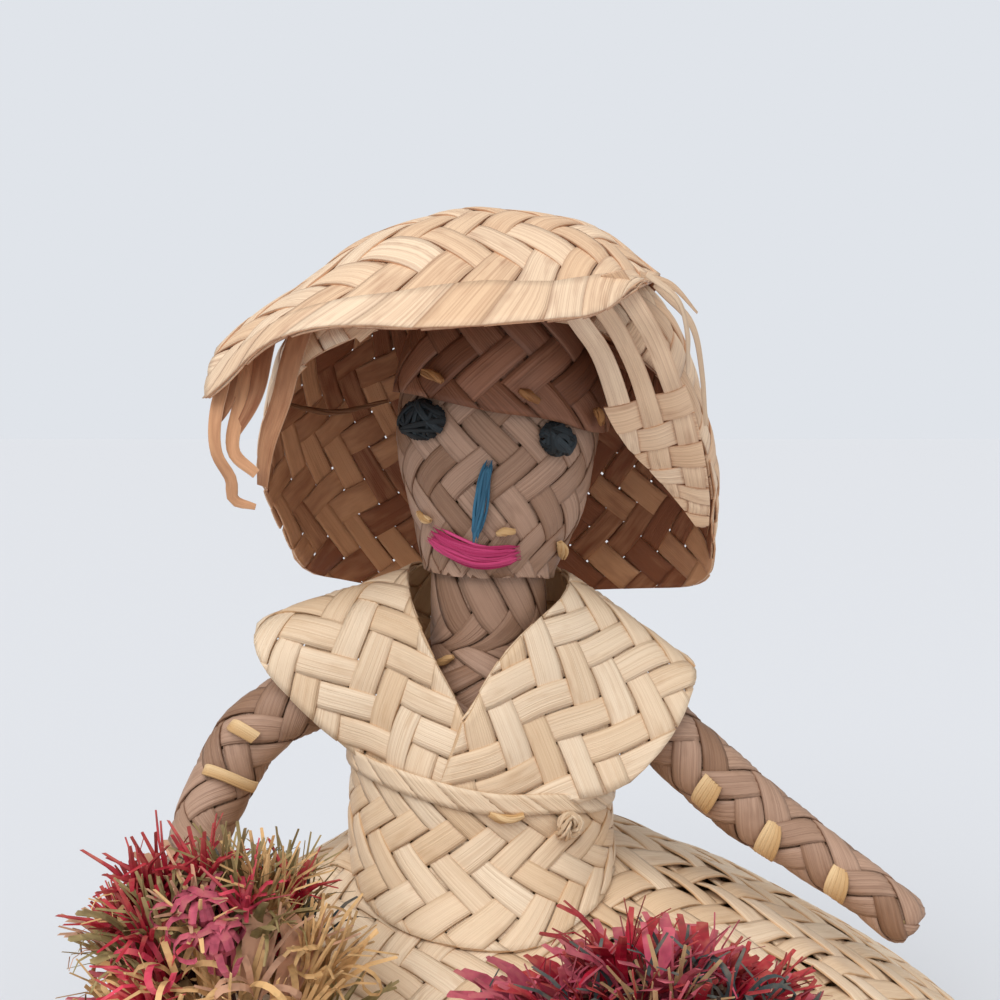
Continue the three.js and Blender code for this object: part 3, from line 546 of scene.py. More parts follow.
def node_group(title, inputs, notes):
    """A new geometry node tree with named inputs, and the notes that it reads off its points."""
    tree = bpy.data.node_groups.new(title, "GeometryNodeTree")
    for name, kind in (("Geometry", "Geometry"), *inputs, ("Finish", "Material")):
        tree.interface.new_socket(name, in_out="INPUT", socket_type="NodeSocket" + kind)
    tree.interface.new_socket("Geometry", in_out="OUTPUT", socket_type="NodeSocketGeometry")
    given = add(tree, "NodeGroupInput").outputs
    noted = {name: add(tree, "GeometryNodeInputNamedAttribute", {0: name}, data_type=kind).outputs[0]
             for name, kind in notes}
    return tree, given, noted


def finished(tree, made, finish):
    """The same node tree with its end: what it made is realized and gets its material."""
    made = add(tree, "GeometryNodeRealizeInstances", {0: made}).outputs[0]
    made = add(tree, "GeometryNodeSetMaterial", {0: made, 2: finish}).outputs[0]
    add(tree, "NodeGroupOutput", {0: made})
    return tree


def sweep_tree():
    """Lays a section along each path of a mesh of edges, turned and scaled as the path's points say."""
    notes = [("lay", "FLOAT_VECTOR"), ("girth", "FLOAT")]
    tree, given, noted = node_group("strip along a path", [("Section", "Object")], notes)
    path = add(tree, "GeometryNodeMeshToCurve", {0: given["Geometry"]}).outputs[0]
    path = add(tree, "GeometryNodeSetCurveNormal", {0: path, 2: noted["lay"]}, mode="FREE").outputs[0]
    section = add(tree, "GeometryNodeObjectInfo", {0: given["Section"]}).outputs["Geometry"]
    section = add(tree, "GeometryNodeMeshToCurve", {0: section}).outputs[0]
    skin = add(tree, "GeometryNodeCurveToMesh", {0: path, 1: section, 2: noted["girth"], 3: True}).outputs[0]
    skin = add(tree, "GeometryNodeSetShadeSmooth", {0: skin, 2: True}).outputs[0]
    return finished(tree, skin, given["Finish"])


def grown(source, tree, **inputs):
    """The mesh that a node tree makes from a source object, as a finished piece of its own."""
    maker = source.modifiers.new("maker", "NODES")
    maker.node_group = tree
    for item in tree.interface.items_tree:
        if item.in_out == "INPUT" and item.name in inputs:
            maker[item.identifier] = inputs[item.name]
    name = source.name
    source.name = name + "_source"
    bpy.context.view_layer.update()
    mesh = bpy.data.meshes.new_from_object(source.evaluated_get(bpy.context.evaluated_depsgraph_get()))
    source.modifiers.remove(maker)
    bpy.data.objects.remove(source)
    return placed(name, mesh)


def outline(name, width, thick):
    """A closed section for the sweep, that notes which side of the strip each point is on."""
    mesh = bpy.data.meshes.new(name)
    points = [(y * thick * MM, -x * width * MM, 0) for x, y in SECTION]
    mesh.from_pydata(points, [(i, (i + 1) % len(points)) for i in range(len(points))], [])
    note(mesh, across=2 * SECTION[:, 0], under=(SECTION[:, 1] < -0.1).astype(float))
    return placed(name, mesh)


along_path = sweep_tree()


def swept(name, paths, width, thick, finish):
    """Strips or strands along paths, each with points, the way its flat side faces, girth and shade."""
    mesh = bpy.data.meshes.new(name)
    points = (strayed(np.concatenate([path["points"] for path in paths])) + [TORSO_X, 0, 0]) * MM
    edges, start = [], 0
    for path in paths:
        count = len(path["points"])
        edges += [(start + i, start + i + 1) for i in range(count - 1)]
        start += count
    mesh.from_pydata(points.tolist(), edges, [])
    runs = np.concatenate([run_along(path["points"]) for path in paths])
    spread = lambda key: np.concatenate([np.broadcast_to(path[key], len(path["points"])) for path in paths])
    note(mesh, along=runs, shade=spread("shade"), girth=spread("girth"))
    lay = np.concatenate([np.broadcast_to(path["lay"], path["points"].shape) for path in paths])
    mesh.attributes.new("lay", "FLOAT_VECTOR", "POINT").data.foreach_set("vector", lay.ravel())
    section = outline(name + "_section", width, thick)
    piece = grown(placed(name, mesh), along_path, Section=section, Finish=finish)
    bpy.data.objects.remove(section)
    return piece


def curve(points, closed=False):
    """A smooth curve through points, as a function of the share of its spans."""
    given = np.array(points, float)
    count = len(given)
    before, after = [2 * given[0] - given[1]], [2 * given[-1] - given[-2]]
    line = np.concatenate([given[-1:], given, given[:2]] if closed else [before, given, after])

    def at(t):
        place = np.asarray(t, float) * (count if closed else count - 1)
        place = place % count if closed else place
        k = np.clip(np.floor(place).astype(int), 0, count - 1 if closed else count - 2)
        w = (place - k)[..., None]
        p0, p1, p2, p3 = (line[k + i] for i in range(4))
        d0, d1, d2 = (np.sqrt(np.linalg.norm(b - a, axis=-1, keepdims=True))
                      for a, b in ((p0, p1), (p1, p2), (p2, p3)))
        t1 = ((p1 - p0) / d0 - (p2 - p0) / (d0 + d1) + (p2 - p1) / d1) * d1
        t2 = ((p2 - p1) / d1 - (p3 - p1) / (d1 + d2) + (p3 - p2) / d2) * d1
        return p1 + t1 * w + (3 * p2 - 3 * p1 - 2 * t1 - t2) * w ** 2 + (2 * p1 - 2 * p2 + t1 + t2) * w ** 3

    return at


def spaced(points):
    """The same curve as a function of the share of its length, and that length."""
    at, t = curve(points), np.linspace(0, 1, 601)
    run = run_along(at(t))
    return (lambda share: at(np.interp(np.asarray(share, float) * run[-1], run, t))), run[-1]


def frames(points):
    """Tangents and two cross directions along a path, turned as little as possible."""
    tangents = unit(np.gradient(points, axis=0))
    start = np.eye(3)[np.argmin(np.abs(tangents[0]))]
    normals = [np.cross(tangents[0], unit(np.cross(tangents[0], start)))]
    for before, now in zip(tangents[:-1], tangents[1:]):
        axis = np.cross(before, now)
        angle = math.atan2(np.linalg.norm(axis), float(before @ now))
        axis, last = unit(axis), normals[-1]
        normals.append(last * math.cos(angle) + np.cross(axis, last) * math.sin(angle)
                       + axis * (axis @ last) * (1 - math.cos(angle)))
    normals = np.array(normals)
    return tangents, normals, np.cross(tangents, normals)


def bundle(points, strands, spread, turns, seed, flat=1.0):
    """Strands twisted round a path; flat makes the bundle lower than it is wide."""
    dice = np.random.default_rng(seed)
    _, first, second = frames(points)
    t = np.linspace(0, 1, len(points))[:, None]
    paths = []
    for k in range(strands):
        angle = 2 * np.pi * (k / strands + turns * t) + dice.uniform(-0.4, 0.4)
        reach = spread * dice.uniform(0.7, 1.1) * (0.55 + 0.45 * np.sin(np.pi * t))
        way = first * np.cos(angle) + second * np.sin(angle) * flat
        girth = (0.6 + 0.4 * np.sin(np.pi * t[:, 0])) * dice.uniform(0.85, 1.15)
        paths.append(dict(points=points + way * reach, lay=unit(way), girth=girth, shade=dice.uniform(0, 1)))
    return paths


def face_spot(x, z, lift):
    """A place on the front of the head, x to the doll's left and z up, lifted off the plait."""
    x, z = np.asarray(x, float), np.asarray(z, float)
    angle = -np.arccos(np.clip(x / head_half(z), -1, 1))
    step = 1e-3
    side = head_at(angle + step, z) - head_at(angle - step, z)
    up = head_at(angle, z + step) - head_at(angle, z - step)
    return head_at(angle, z) + unit(np.cross(side, up)) * np.asarray(lift, float)[..., None]


def face_line(points, lift):
    """A stitch's path over the face through points given as x and z."""
    line = curve([(x, 0, z) for x, z in points])(np.linspace(0, 1, STITCH_POINTS))
    return face_spot(line[:, 0], line[:, 2], lift)


def raffia_finish(name, light, dark):
    """Raffia: thin, dry fibre, brighter where it was pulled tight."""
    return leaf_finish(name, light, dark, dark, dark, 0.6, 0.65)


# Raffia dyed nearly black, blue and pink, and undyed gold: dull strands with fine lengthwise lines
dark_raffia = raffia_finish("raffia, dyed dark", "#323C42", "#0A0D0F")
blue_raffia = raffia_finish("raffia, dyed blue", "#3E7694", "#143850")
pink_raffia = raffia_finish("raffia, dyed pink", "#DC5086", "#A01C50")
gold_raffia = raffia_finish("raffia, undyed", "#E6C698", "#BF9562")


def eye(name, x, z, wide, high, seed):
    """A ball of raffia, wound this way and that with a few coils on top, sewn flat on the face."""
    dice = np.random.default_rng(seed)
    middle = face_spot(x, z, -2.0)
    paths = []
    windings, coils = 25, 5
    for k in range(windings + coils):
        if k < windings:
            angle, offset = dice.uniform(0, 2 * np.pi), dice.uniform(-0.85, 0.85)
            t = np.linspace(-1, 1, 15) * math.sqrt(1 - offset ** 2)
            across = offset * math.cos(angle) - t * math.sin(angle)
            up = offset * math.sin(angle) + t * math.cos(angle)
        else:
            turn = np.linspace(0, 7, 25) + k
            across, up = (0.12 + 0.085 * (turn - k)) * np.array([np.cos(turn), np.sin(turn)])
        height = np.sqrt(np.maximum(1 - across ** 2 - up ** 2, 0)) * dice.uniform(1.7, 3.3)
        line = face_spot(x + wide * across, z + high * up, 0.5 + height)
        girth, shade = dice.uniform(0.6, 1.4), dice.uniform(0, 1)
        paths.append(dict(points=line, lay=unit(line - middle), girth=girth, shade=shade))
    piece = swept(name + "_strands", paths, 1.0, 0.6, dark_raffia)
    settle(piece, "head", "dark_raffia", name)


eye("left_eye_knot", 11.6, 29.0, 3.5, 3.3, 21)
eye("right_eye_knot", -15.3, 31.4, 4.3, 3.9, 22)


def laid_strands(points, lift, strands, high, ends, seed):
    """Strands laid side by side along a line on the face, gathered at the ends by their share."""
    dice = np.random.default_rng(seed)
    t = np.linspace(0, 1, STRAND_POINTS)
    line = curve([(x, 0, z) for x, z in points])(t)
    way = unit(np.gradient(line, axis=0))
    paths = []
    for k in range(strands):
        side = (2 * (k + 0.5) / strands - 1) * high
        wander = np.sin(2 * np.pi * (t * dice.uniform(0.5, 1.2) + dice.uniform(0, 1)))
        wave = side * lerp(ends, 1.0, np.sin(np.pi * t)) + 0.3 * wander
        x, z = line[:, 0] - way[:, 2] * wave, line[:, 2] + way[:, 0] * wave
        height = np.interp(t, np.linspace(0, 1, len(lift)), lift) * math.sqrt(1 - 0.7 * (side / high) ** 2)
        place = face_spot(x, z, 0.4 + height + dice.uniform(-0.25, 0.25))
        out = unit(place - face_spot(x, z, -1.0))
        taper = np.clip(np.minimum(t - dice.uniform(0, 0.1), 1 - dice.uniform(0, 0.1) - t) * 16, 0.1, 1)
        girth, shade = taper * dice.uniform(0.8, 1.2), dice.uniform(0, 1)
        paths.append(dict(points=place, lay=out, girth=girth, shade=shade))
    return paths


NOSE = [(-1.6, 24.6), (-2.1, 17), (-2.9, 8.2)]
nose_paths = laid_strands(NOSE, (0.5, 1.6, 2.8), 10, 1.3, 0.25, 23)
nose = swept("nose_strands", nose_paths, 0.6, 0.6, blue_raffia)
settle(nose, "head", "blue_raffia", "nose_stitch")
MOUTH = [(-12.4, 8.6), (-8, 6.9), (-3, 5.4), (1.5, 5.2), (6.0, 5.6)]
mouth_paths = laid_strands(MOUTH, (0.8, 1.8, 2.0, 1.8, 0.9), 20, 2.1, 0.8, 24)
mouth = swept("mouth_strands", mouth_paths, 0.6, 0.6, pink_raffia)
settle(mouth, "head", "pink_raffia", "mouth_stitch")

WRAP_LIFT = FIT + BROWN_MAT + 0.5
STITCHES = {
    "lip_stitch": ([(1.2, 9.6), (3, 10), (4.8, 10)], 1.0),
    "cheek_stitch_right": ([(-15.2, 12.4), (-13.8, 11.4), (-12.4, 11.2)], 0.9),
    "cheek_stitch_left": ([(13.6, 8.2), (14.4, 6.8), (14.8, 5)], 0.9),
    "brow_stitch_right": ([(-14.6, 40.4), (-12.6, 39.9), (-10.8, 38.9)], WRAP_LIFT + 0.9),
    "brow_stitch_left": ([(3.4, 38.2), (5.2, 37.2), (7, 36)], WRAP_LIFT + 0.9),
    "temple_stitch": ([(16.8, 36), (17.9, 34.8), (18.4, 33.2)], WRAP_LIFT + 0.9),
}

# Raffia darkened as painted shade, for the stitches in the shade of the hat
raffia_in_painted_shade = raffia_finish("raffia, tanned", "#C08C58", "#8A5C36")


def stitched(name, path, body, seed, finish=gold_raffia):
    """A short, flat stitch of four strands of raffia."""
    piece = swept(name + "_strands", bundle(path, 4, 0.75, 0.35, seed, 0.6), 1.3, 0.7, finish)
    settle(piece, body, "raffia", name)


for seed, (name, (points, lift)) in enumerate(STITCHES.items()):
    # Stitches on the headwrap lie in the hat's shade and take the darker raffia, as painted shade.
    finish = raffia_in_painted_shade if lift > WRAP_LIFT else gold_raffia
    stitched(name, face_line(points, lift), "head", 30 + seed, finish)


def on_tube_spot(surface, points, lift):
    """Places on a tube given as shares round and along it, lifted off its outside."""
    line = curve([(u, v, 0) for u, v in points])(np.linspace(0, 1, STITCH_POINTS))
    p, q = 2 * np.pi * line[:, 0], line[:, 1]
    return on_chart(surface, p, q, np.full(len(p), lift), -1)


NECK_STITCH = [(0.675, 0.52), (0.655, 0.56), (0.64, 0.6)]
stitched("neck_stitch", on_tube_spot(sheath_surface, NECK_STITCH, 2.8), "body", 41)
BODICE_STITCH = [(0.764, 0.13), (0.781, 0.16), (0.8, 0.13)]
stitched("bodice_stitch", on_tube_spot(bodice_surface, BODICE_STITCH, 1.2), "body", 42)
KNOT_RADIUS, KNOT_TURNS = 1.8, 2.4
knot_line = on_tube_spot(bodice_surface, [(0.835, 0.25), (0.853, 0.24), (0.871, 0.23)], 1.7)
knot_turn = np.linspace(0, 2 * np.pi * KNOT_TURNS, 40)
knot_side, knot_up = unit(knot_line[-1] - knot_line[0]), np.array([0.0, 0.0, 1.0])
knot_ring = np.cos(knot_turn)[:, None] * knot_side + np.sin(knot_turn)[:, None] * knot_up
knot_path = knot_line[STITCH_POINTS // 2] + KNOT_RADIUS * knot_ring
knot_path += np.cross(knot_side, knot_up) * (0.7 * np.sin(2.2 * knot_turn))[:, None]
knot = swept("bodice_knot_strands", bundle(knot_path, 8, 1.1, 3.0, 43), 0.7, 0.6, natural_leaf)
settle(knot, "body", "raffia", "bodice_knot")

# Bodice hem
# The band's strips are folded back over its upper edge, so that it ends in a row of slanted laps.
# The laps lie side by side on the outside and stand a little higher than the plait below them.


def joined(first, other):
    """Two finished meshes as one piece."""
    chosen = dict(active_object=first, object=first, selected_editable_objects=[first, other])
    with bpy.context.temp_override(**chosen):
        bpy.ops.object.join()
    return first


def folded_edge(name, chart, length, depth, pitch, finish, seed, outward, level):
    """A mat's edge: its strips are folded back over it and lie slantwise, side by side."""
    over = 0.7  # how far the fold stands past the edge
    margin = lambda p, q: np.minimum(np.minimum(p, length - p), np.minimum(q + over, depth - q))
    rows = int(length * SLOPE / pitch) + 2
    return plait(name, chart, margin, finish, pitch, (-rows, rows), (-length, length), seed, outward, level,
                 rise=0.0, families=(0,), fill=1.04)


bodice_chart = on_tube(bodice_surface, BODICE_GIRTH, BODICE_DEPTH)[0]
bodice_hem = folded_edge("bodice_hem", bodice_chart, BODICE_GIRTH, 4.6, 5.8, natural_leaf, 55, -1, 0.5)
settle(joined(bodice_mat, bodice_hem), "body", "natural_straw", "bodice")

# Collar
# Two wide lapels of natural plait, crossed in front to a V and spread like wings over the
# shoulders, with their plain folded edges outwards.

COLLAR_RING, V_FRONT = 17.2, -22.7


def neck_side(side, y, z):
    """A point of the neckline, on the ring round the neck."""
    return (NECK_SHIFT + side * math.sqrt(COLLAR_RING ** 2 - y ** 2), y, z)


def bodice_rim(x, over=0.0):
    """A point of the bodice's upper edge in front, or as far over it as one lapel lies on the other."""
    return (x, V_FRONT * math.sqrt(1 - (x / 27.5) ** 2) - over, bodice_top(x) - 1.4)


LAPELS = {
    "right": ([(-2.4, V_FRONT, 103.0), (-10.4, -17.5, 118.7), neck_side(-1, -4, 130.5), neck_side(-1, 9, 131),
               (-0.6, 17.2, 130)],
              [bodice_rim(-3.6), bodice_rim(-15), bodice_rim(-24), (-45.7, -8, 113), (-46.8, 0, 119.8),
               (-40, 12, 117), (-24, 23, 106), (-0.6, 26, 98)]),
    "left": ([(-3.6, V_FRONT - 1.3, 103.6), (5.8, -17.5, 116.6), neck_side(1, -4, 128), neck_side(1, 9, 130),
              (0.6, 17.2, 130)],
             [bodice_rim(-7.6, 1.3), bodice_rim(5), bodice_rim(14), (33.1, -14, 90.6), (46, -4, 109.1),
              (42, 9, 112), (26, 22, 105), (0.6, 26, 98)]),
}
LAPEL_PITCH = 6.2


def third(p, q, from_p, from_q, side):
    """The flat point at given distances from p and q, on one side of the line between them."""
    line = q - p
    length = np.linalg.norm(line)
    x = (from_p ** 2 - from_q ** 2 + length ** 2) / (2 * length)
    y = math.sqrt(max(from_p ** 2 - x ** 2, 0.0)) * side
    along = line / length
    return p + along * x + np.array([-along[1], along[0]]) * y


def unrolled(near, far, side):
    """Both edges of a ruled sheet, laid flat with their lengths kept."""
    gap = lambda a, b: np.linalg.norm(a - b)
    start = near[0][[0, 2]]
    way = unit(far[0][[0, 2]] - start)
    flat_near, flat_far = [start], [start + way * gap(near[0], far[0])]
    for k in range(1, len(near)):
        from_near, from_far = gap(near[k], near[k - 1]), gap(near[k], far[k - 1])
        flat_near.append(third(flat_near[-1], flat_far[-1], from_near, from_far, side))
        from_near, from_far = gap(far[k], near[k]), gap(far[k], far[k - 1])
        flat_far.append(third(flat_near[-1], flat_far[-1], from_near, from_far, side))
    return np.array(flat_near), np.array(flat_far)


def lapel(side, seed):
    """A mat between the neckline and the outer edge, turned when flat so that its strips run as worn."""
    inner, outer = (curve(points) for points in LAPELS[side])
    t = np.linspace(0, 1, 161)
    turn = -1 if side == "right" else 1
    near, far = unrolled(inner(t), outer(t), turn)
    rule = far - near
    width = np.linalg.norm(rule, axis=1)
    tilt = math.radians(-45 + 15 * turn)
    spin = np.array([[math.cos(tilt), -math.sin(tilt)], [math.sin(tilt), math.cos(tilt)]])
    middle = (near[40] + far[40]) / 2

    def flat(p, q):
        """Shares along and across the mat, and how far inside it the place is."""
        place = vec(p, q) @ spin.T + middle
        off = place[..., None, :] - near
        turned = (off[..., 0] * rule[:, 1] - off[..., 1] * rule[:, 0]) / width
        share = np.sum(off * rule, -1) / width ** 2
        meets = (turned[..., :-1] * turned[..., 1:] <= 0) & (np.abs(share[..., :-1] - 0.5) < 1.0)
        found = meets.any(-1)
        first = np.abs(turned[..., 0]) < np.abs(turned[..., -1])
        k = np.where(found, np.argmax(meets, -1), np.where(first, 0, len(t) - 2))
        pick = lambda table, i: np.take_along_axis(table, i[..., None], -1)[..., 0]
        low, high = pick(turned, k), pick(turned, k + 1)
        part = np.where(found, low / np.where(low == high, 1.0, low - high), np.where(first, 0.0, 1.0))
        v = lerp(pick(share, k), pick(share, k + 1), part)
        size = np.interp(k + part, np.arange(len(t)), width)
        ends = np.minimum(np.abs(turned[..., 0]), np.abs(turned[..., -1])) * np.where(found, 1, -1)
        return (k + part) / (len(t) - 1), v, np.minimum(ends, np.minimum(v, 1 - v) * size)

    def chart(p, q):
        u, v, _ = flat(p, q)
        return lerp(inner(u), outer(u), v[..., None])

    piece = plait(f"collar_{side}_plait", chart, lambda p, q: flat(p, q)[2], natural_leaf, LAPEL_PITCH,
                  (-16, 17), (-95.0, 95.0), seed)
    settle(piece, "body", "natural_straw", f"collar_{side}")


lapel("right", 51)
lapel("left", 52)

# Hat crown
# A square-bottomed basket worn upside down: strips go up one side, cross a corner of the top and
# come down the next side. Its rim is high over the face and low behind, and its inside shows brown:
# the darker colour of the strips' undersides is painted shade.

HAT_EASE = 0.4  # room between the headwrap and the hat
HAT_TOP = HEAD_BASE + (HEAD_HEIGHT + FIT + BROWN_MAT) * math.cos(LEAN) + HAT_EASE + MAT
HAT_APEX = np.array([NECK_SHIFT + HEAD_HEIGHT * math.sin(LEAN), 6.0, HAT_TOP])
HAT_RIM = curve([
    (52.3, 8, 135.5), (51, 20, 126), (37.4, 33, 122.4), (3, 44, 121), (-33.8, 36, 124), (-42.4, 27, 129),
    (-47.7, 8, 147.6), (-44, -10, 160), (-30, -25, 177), (0, -33, 183), (15, -32, 182), (30, -25, 177),
    (41.5, -14, 166), (48.5, -3, 153),
], True)
HAT_STRIPS = 8  # strips that go up each side
HAT_EDGE = 40.0  # from the top's middle down to where the sides begin


def hat_surface(u, v):
    """The crown's outside at a share round its rim, from its top, v = 0, to the rim."""
    rim = HAT_RIM(u)
    out = (v * (2 - v))[..., None]
    flat = lerp(HAT_APEX[:2], rim[..., :2], out)
    return vec(flat[..., 0], flat[..., 1], lerp(HAT_APEX[2], rim[..., 2], v * v))


HAT_COLUMNS, HAT_ROWS = 240, 100  # steps of the table below, round the crown and down it
HAT_PAST = 5  # steps past the rim, where a strip's line is looked at when it is cut
hat_u = np.linspace(0, 1, HAT_COLUMNS + 1)
hat_v = np.arange(HAT_ROWS + HAT_PAST + 2) / HAT_ROWS
hat_lines = [hat_surface(np.full(len(hat_v), u), hat_v) for u in hat_u]
hat_run = [run_along(line) for line in hat_lines]
hat_reach = np.array([np.interp(1.0, hat_v, run) for run in hat_run])
hat_shares = hat_v[:-1]
hat_table = np.array([np.interp(hat_shares * reach, run, hat_v) for run, reach in zip(hat_run, hat_reach)])
hat_round = run_along(hat_surface(hat_u, np.full(len(hat_u), 0.75))[:, :2])
HAT_SIDE = hat_round[-1] / 4
HAT_PITCH = HAT_SIDE * SLOPE / HAT_STRIPS


def hat_round_to_u(p):
    """The share round the rim for a length round the crown, counted from a corner."""
    return np.interp((p - HAT_SIDE / 2) % hat_round[-1], hat_round, hat_u)


def hat_fold(wall, x, y):
    """The crown's u and run from its top, for a flat place in the frame of one side and the top."""
    side = HAT_SIDE
    cx, cy = x - side / 2, y - side / 2
    share = np.maximum(np.maximum(np.abs(cx), np.abs(cy)) / (side / 2), 1e-6)
    ex, ey = cx / share + side / 2, cy / share + side / 2
    low, left, right = -cy >= np.abs(cx), -cx >= np.abs(cy), cx >= np.abs(cy)
    p = np.select([low, left, right], [wall * side + ex, wall * side - ey, (wall + 1) * side + ey],
                  (wall + 3) * side - ex)
    p = np.where(y < 0, wall * side + x, np.where(x < 0, wall * side - y, p))
    run = np.where(y < 0, HAT_EDGE - y, np.where(x < 0, HAT_EDGE - x, share * HAT_EDGE))
    return hat_round_to_u(p), run


def hat_chart(wall, x, y):
    """The crown's outside for a flat place, read off the table."""
    u, run = hat_fold(wall, x, y)
    share = np.clip(run / np.interp(u, hat_u, hat_reach), 0, hat_shares[-1])
    column, row = u * HAT_COLUMNS, share * HAT_ROWS
    i = np.clip(column.astype(int), 0, HAT_COLUMNS - 1)
    j = np.clip(row.astype(int), 0, len(hat_shares) - 2)
    above = lerp(hat_table[i, j], hat_table[i + 1, j], column - i)
    below = lerp(hat_table[i, j + 1], hat_table[i + 1, j + 1], column - i)
    return hat_surface(u, lerp(above, below, row - j))


def hat_lift(wall, index, s):
    """Over or under along a strip that climbs a side, crosses a corner of the top and goes down."""
    n, top = HAT_STRIPS, 2 * index + 1
    start = 40  # cells below the corner of the top
    cells = np.arange(-start, start + 20)
    first = np.where(-cells % 4 < 2, 1.0, -1.0)
    last = np.where((cells - top) % 4 < 2, -1.0, 1.0)
    ways = {0: (index, n + index - cells), 1: (n + index - cells, 2 * n - 1 - index),
            2: (2 * n - 1 - index, n - 1 - index + cells), 3: (n - 1 - index + cells, index)}
    a, b = ways[wall]
    middle = np.where((b - a - n) % 4 < 2, 1.0, -1.0) * (1 if wall % 2 == 0 else -1)
    signs = np.where(cells <= 0, first, np.where(cells >= top, last, middle))
    place = s / HAT_PITCH
    k = np.floor(place).astype(int)
    return lerp(signs[k + start], signs[k + start + 1], smooth(place - k, 0.0, 1.0))


# The hat's leaf is pinker; the darker brown of its strips' undersides, which shows inside the crown, is
# painted shade
hat_leaf = leaf_finish("hat straw, split leaf", "#F4DABC", "#E6C29E", "#DAA47A", "#935A3C", 3.0)


def crown_wall(wall):
    """The strips that climb one side of the crown."""

    def margin(x, y):
        u, run = hat_fold(wall, x, y)
        return np.interp(u, hat_u, hat_reach) - run

    def height(family, index, s, pitch):
        return hat_lift(wall, index, s + (index + 0.5) * pitch)

    made = lattice(margin, HAT_PITCH, (0, HAT_STRIPS), (-150.0, 150.0), 61 + wall,
                   families=(1,), height=height)
    return [dict(strip, wall=wall) for strip in made]


def lay_crown(strip, lift):
    """A crown strip's points at a height off the crown."""
    return on_chart(lambda p, q: hat_chart(strip["wall"], p, q), strip["p"], strip["q"], lift, 1)


crown_strips = [strip for wall in range(4) for strip in crown_wall(wall)]
crown = strip_mesh("hat_crown_plait", crown_strips, lay_crown, hat_leaf, rise=0.42, level=-MAT / 2)
settle(crown, "hat", "natural_straw", "hat_crown")

# Hat brim
# The front of the hat is a second mat, folded up from its front edge over a ridge and back onto
# the crown. Its strips are folded back over the front edge in long slanted laps.


def over_crown(x, y, rise):
    """The crown's outside over a place, and a height above it."""
    rim = HAT_RIM(np.linspace(0, 1, 1440, endpoint=False))
    out = rim[:, :2] - HAT_APEX[:2]
    wanted = np.array([x, y]) - HAT_APEX[:2]
    k = np.argmax(unit(out) @ wanted)
    share = min(np.linalg.norm(wanted) / np.linalg.norm(out[k]), 1.0)
    v = 1 - math.sqrt(1 - share)
    return (x, y, lerp(HAT_APEX[2], rim[k, 2], v * v) + rise)


RIDGE, SEAT = 5.5, 1.2  # heights of the brim's ridge and of its back edge over the crown
brim_front = curve([(-52.3, -28, 167.6), (-34.1, -40, 178.5), (-9.9, -48, 180.2), (12.3, -48, 181),
                    (24, -42, 184), (30.2, -36, 187.5)])
brim_ridge = curve([(-50, -20, 178), (-33, -20, 191), over_crown(-12, -14, RIDGE), over_crown(4, -9, RIDGE),
                    over_crown(22, -11, RIDGE), over_crown(35.5, -14, RIDGE)])
brim_back = curve([over_crown(-40, -4, SEAT), over_crown(-30, -1, SEAT), over_crown(-12, 4, SEAT),
                   over_crown(4, 6, SEAT), over_crown(22, 5, SEAT), over_crown(37, 1, SEAT)])
BRIM_LENGTH, BRIM_DEPTH = 102.0, 62.0


def brim_surface(u, v):
    """The brim's mat, from its front edge, v = 0, over the ridge to its back edge."""
    at, v = np.clip(u, 0, 1), np.asarray(v, float)[..., None]
    front, back = brim_front(at), brim_back(at)
    ridge = 2 * brim_ridge(at) - (front + back) / 2
    return lerp(lerp(front, ridge, v), lerp(ridge, back, v), v)


def brim_chart(p, q):
    return brim_surface(p / BRIM_LENGTH, q / BRIM_DEPTH)


def brim_margin(p, q):
    return np.minimum(np.minimum(p, BRIM_LENGTH - p), np.minimum(q, BRIM_DEPTH - q))


BRIM_PITCH = 7.2
brim = plait("hat_brim_plait", brim_chart, brim_margin, hat_leaf, BRIM_PITCH, (-18, 28), (-130.0, 150.0), 71)
binding = folded_edge("brim_edge", brim_chart, BRIM_LENGTH, 6.4, BRIM_PITCH, hat_leaf, 72, 1, 0.9)
settle(joined(brim, binding), "hat", "natural_straw", "hat_front_brim")

# Loose hat strips
# At the doll's left the brim's mat is torn: long strips run from under it to the crown's side,
# with the cross strips gone at the top. At the right its end is frayed into curling strips.

TORN_LENGTH, TORN_PITCH = 62.0, 5.6
TORN_BARE = 20.0  # length at the top with no cross strips
torn_inner = curve([(13, -36, 188), (19, -29, 176), (26, -20, 163.5), (34, -12.5, 154), (40, -8, 147.5),
                    (46, -4, 141)])
torn_outer = curve([(28, -36, 191), (36, -31, 180), (41.5, -22.5, 168), (45.5, -13, 155), (48, -6, 146),
                    (48.5, -4, 141)])


def torn_chart(p, q):
    """The torn mat's sheet: down it, and across it from its outer edge, with the strips along both."""
    t = np.clip((q - p) * SLOPE / TORN_LENGTH, 0, 1)
    inner, outer = torn_inner(t), torn_outer(t)
    across = (p + q) * SLOPE / np.linalg.norm(outer - inner, axis=-1)
    return lerp(outer, inner, np.clip(across, 0, 1)[..., None])


def torn_margin(p, q):
    down, across = (q - p) * SLOPE, (p + q) * SLOPE
    t = np.clip(down / TORN_LENGTH, 0, 1)
    width = np.linalg.norm(torn_outer(t) - torn_inner(t), axis=-1)
    return np.minimum(np.minimum(down, TORN_LENGTH - down), np.minimum(across, width - across))


def torn_cross_margin(p, q):
    return np.minimum(torn_margin(p, q), (q - p) * SLOPE - TORN_BARE)


torn_strips = []
for family, margin, fill in ((1, torn_margin, 0.74), (0, torn_cross_margin, 0.95)):
    torn_strips += lattice(margin, TORN_PITCH, (-12, 12), (-80.0, 80.0), 73, fill, 4, (family,), weave(1))
lay_torn = lambda strip, lift: on_chart(torn_chart, strip["p"], strip["q"], lift, 1)
torn = strip_mesh("hat_torn_strips", torn_strips, lay_torn, hat_leaf, rise=0.5)


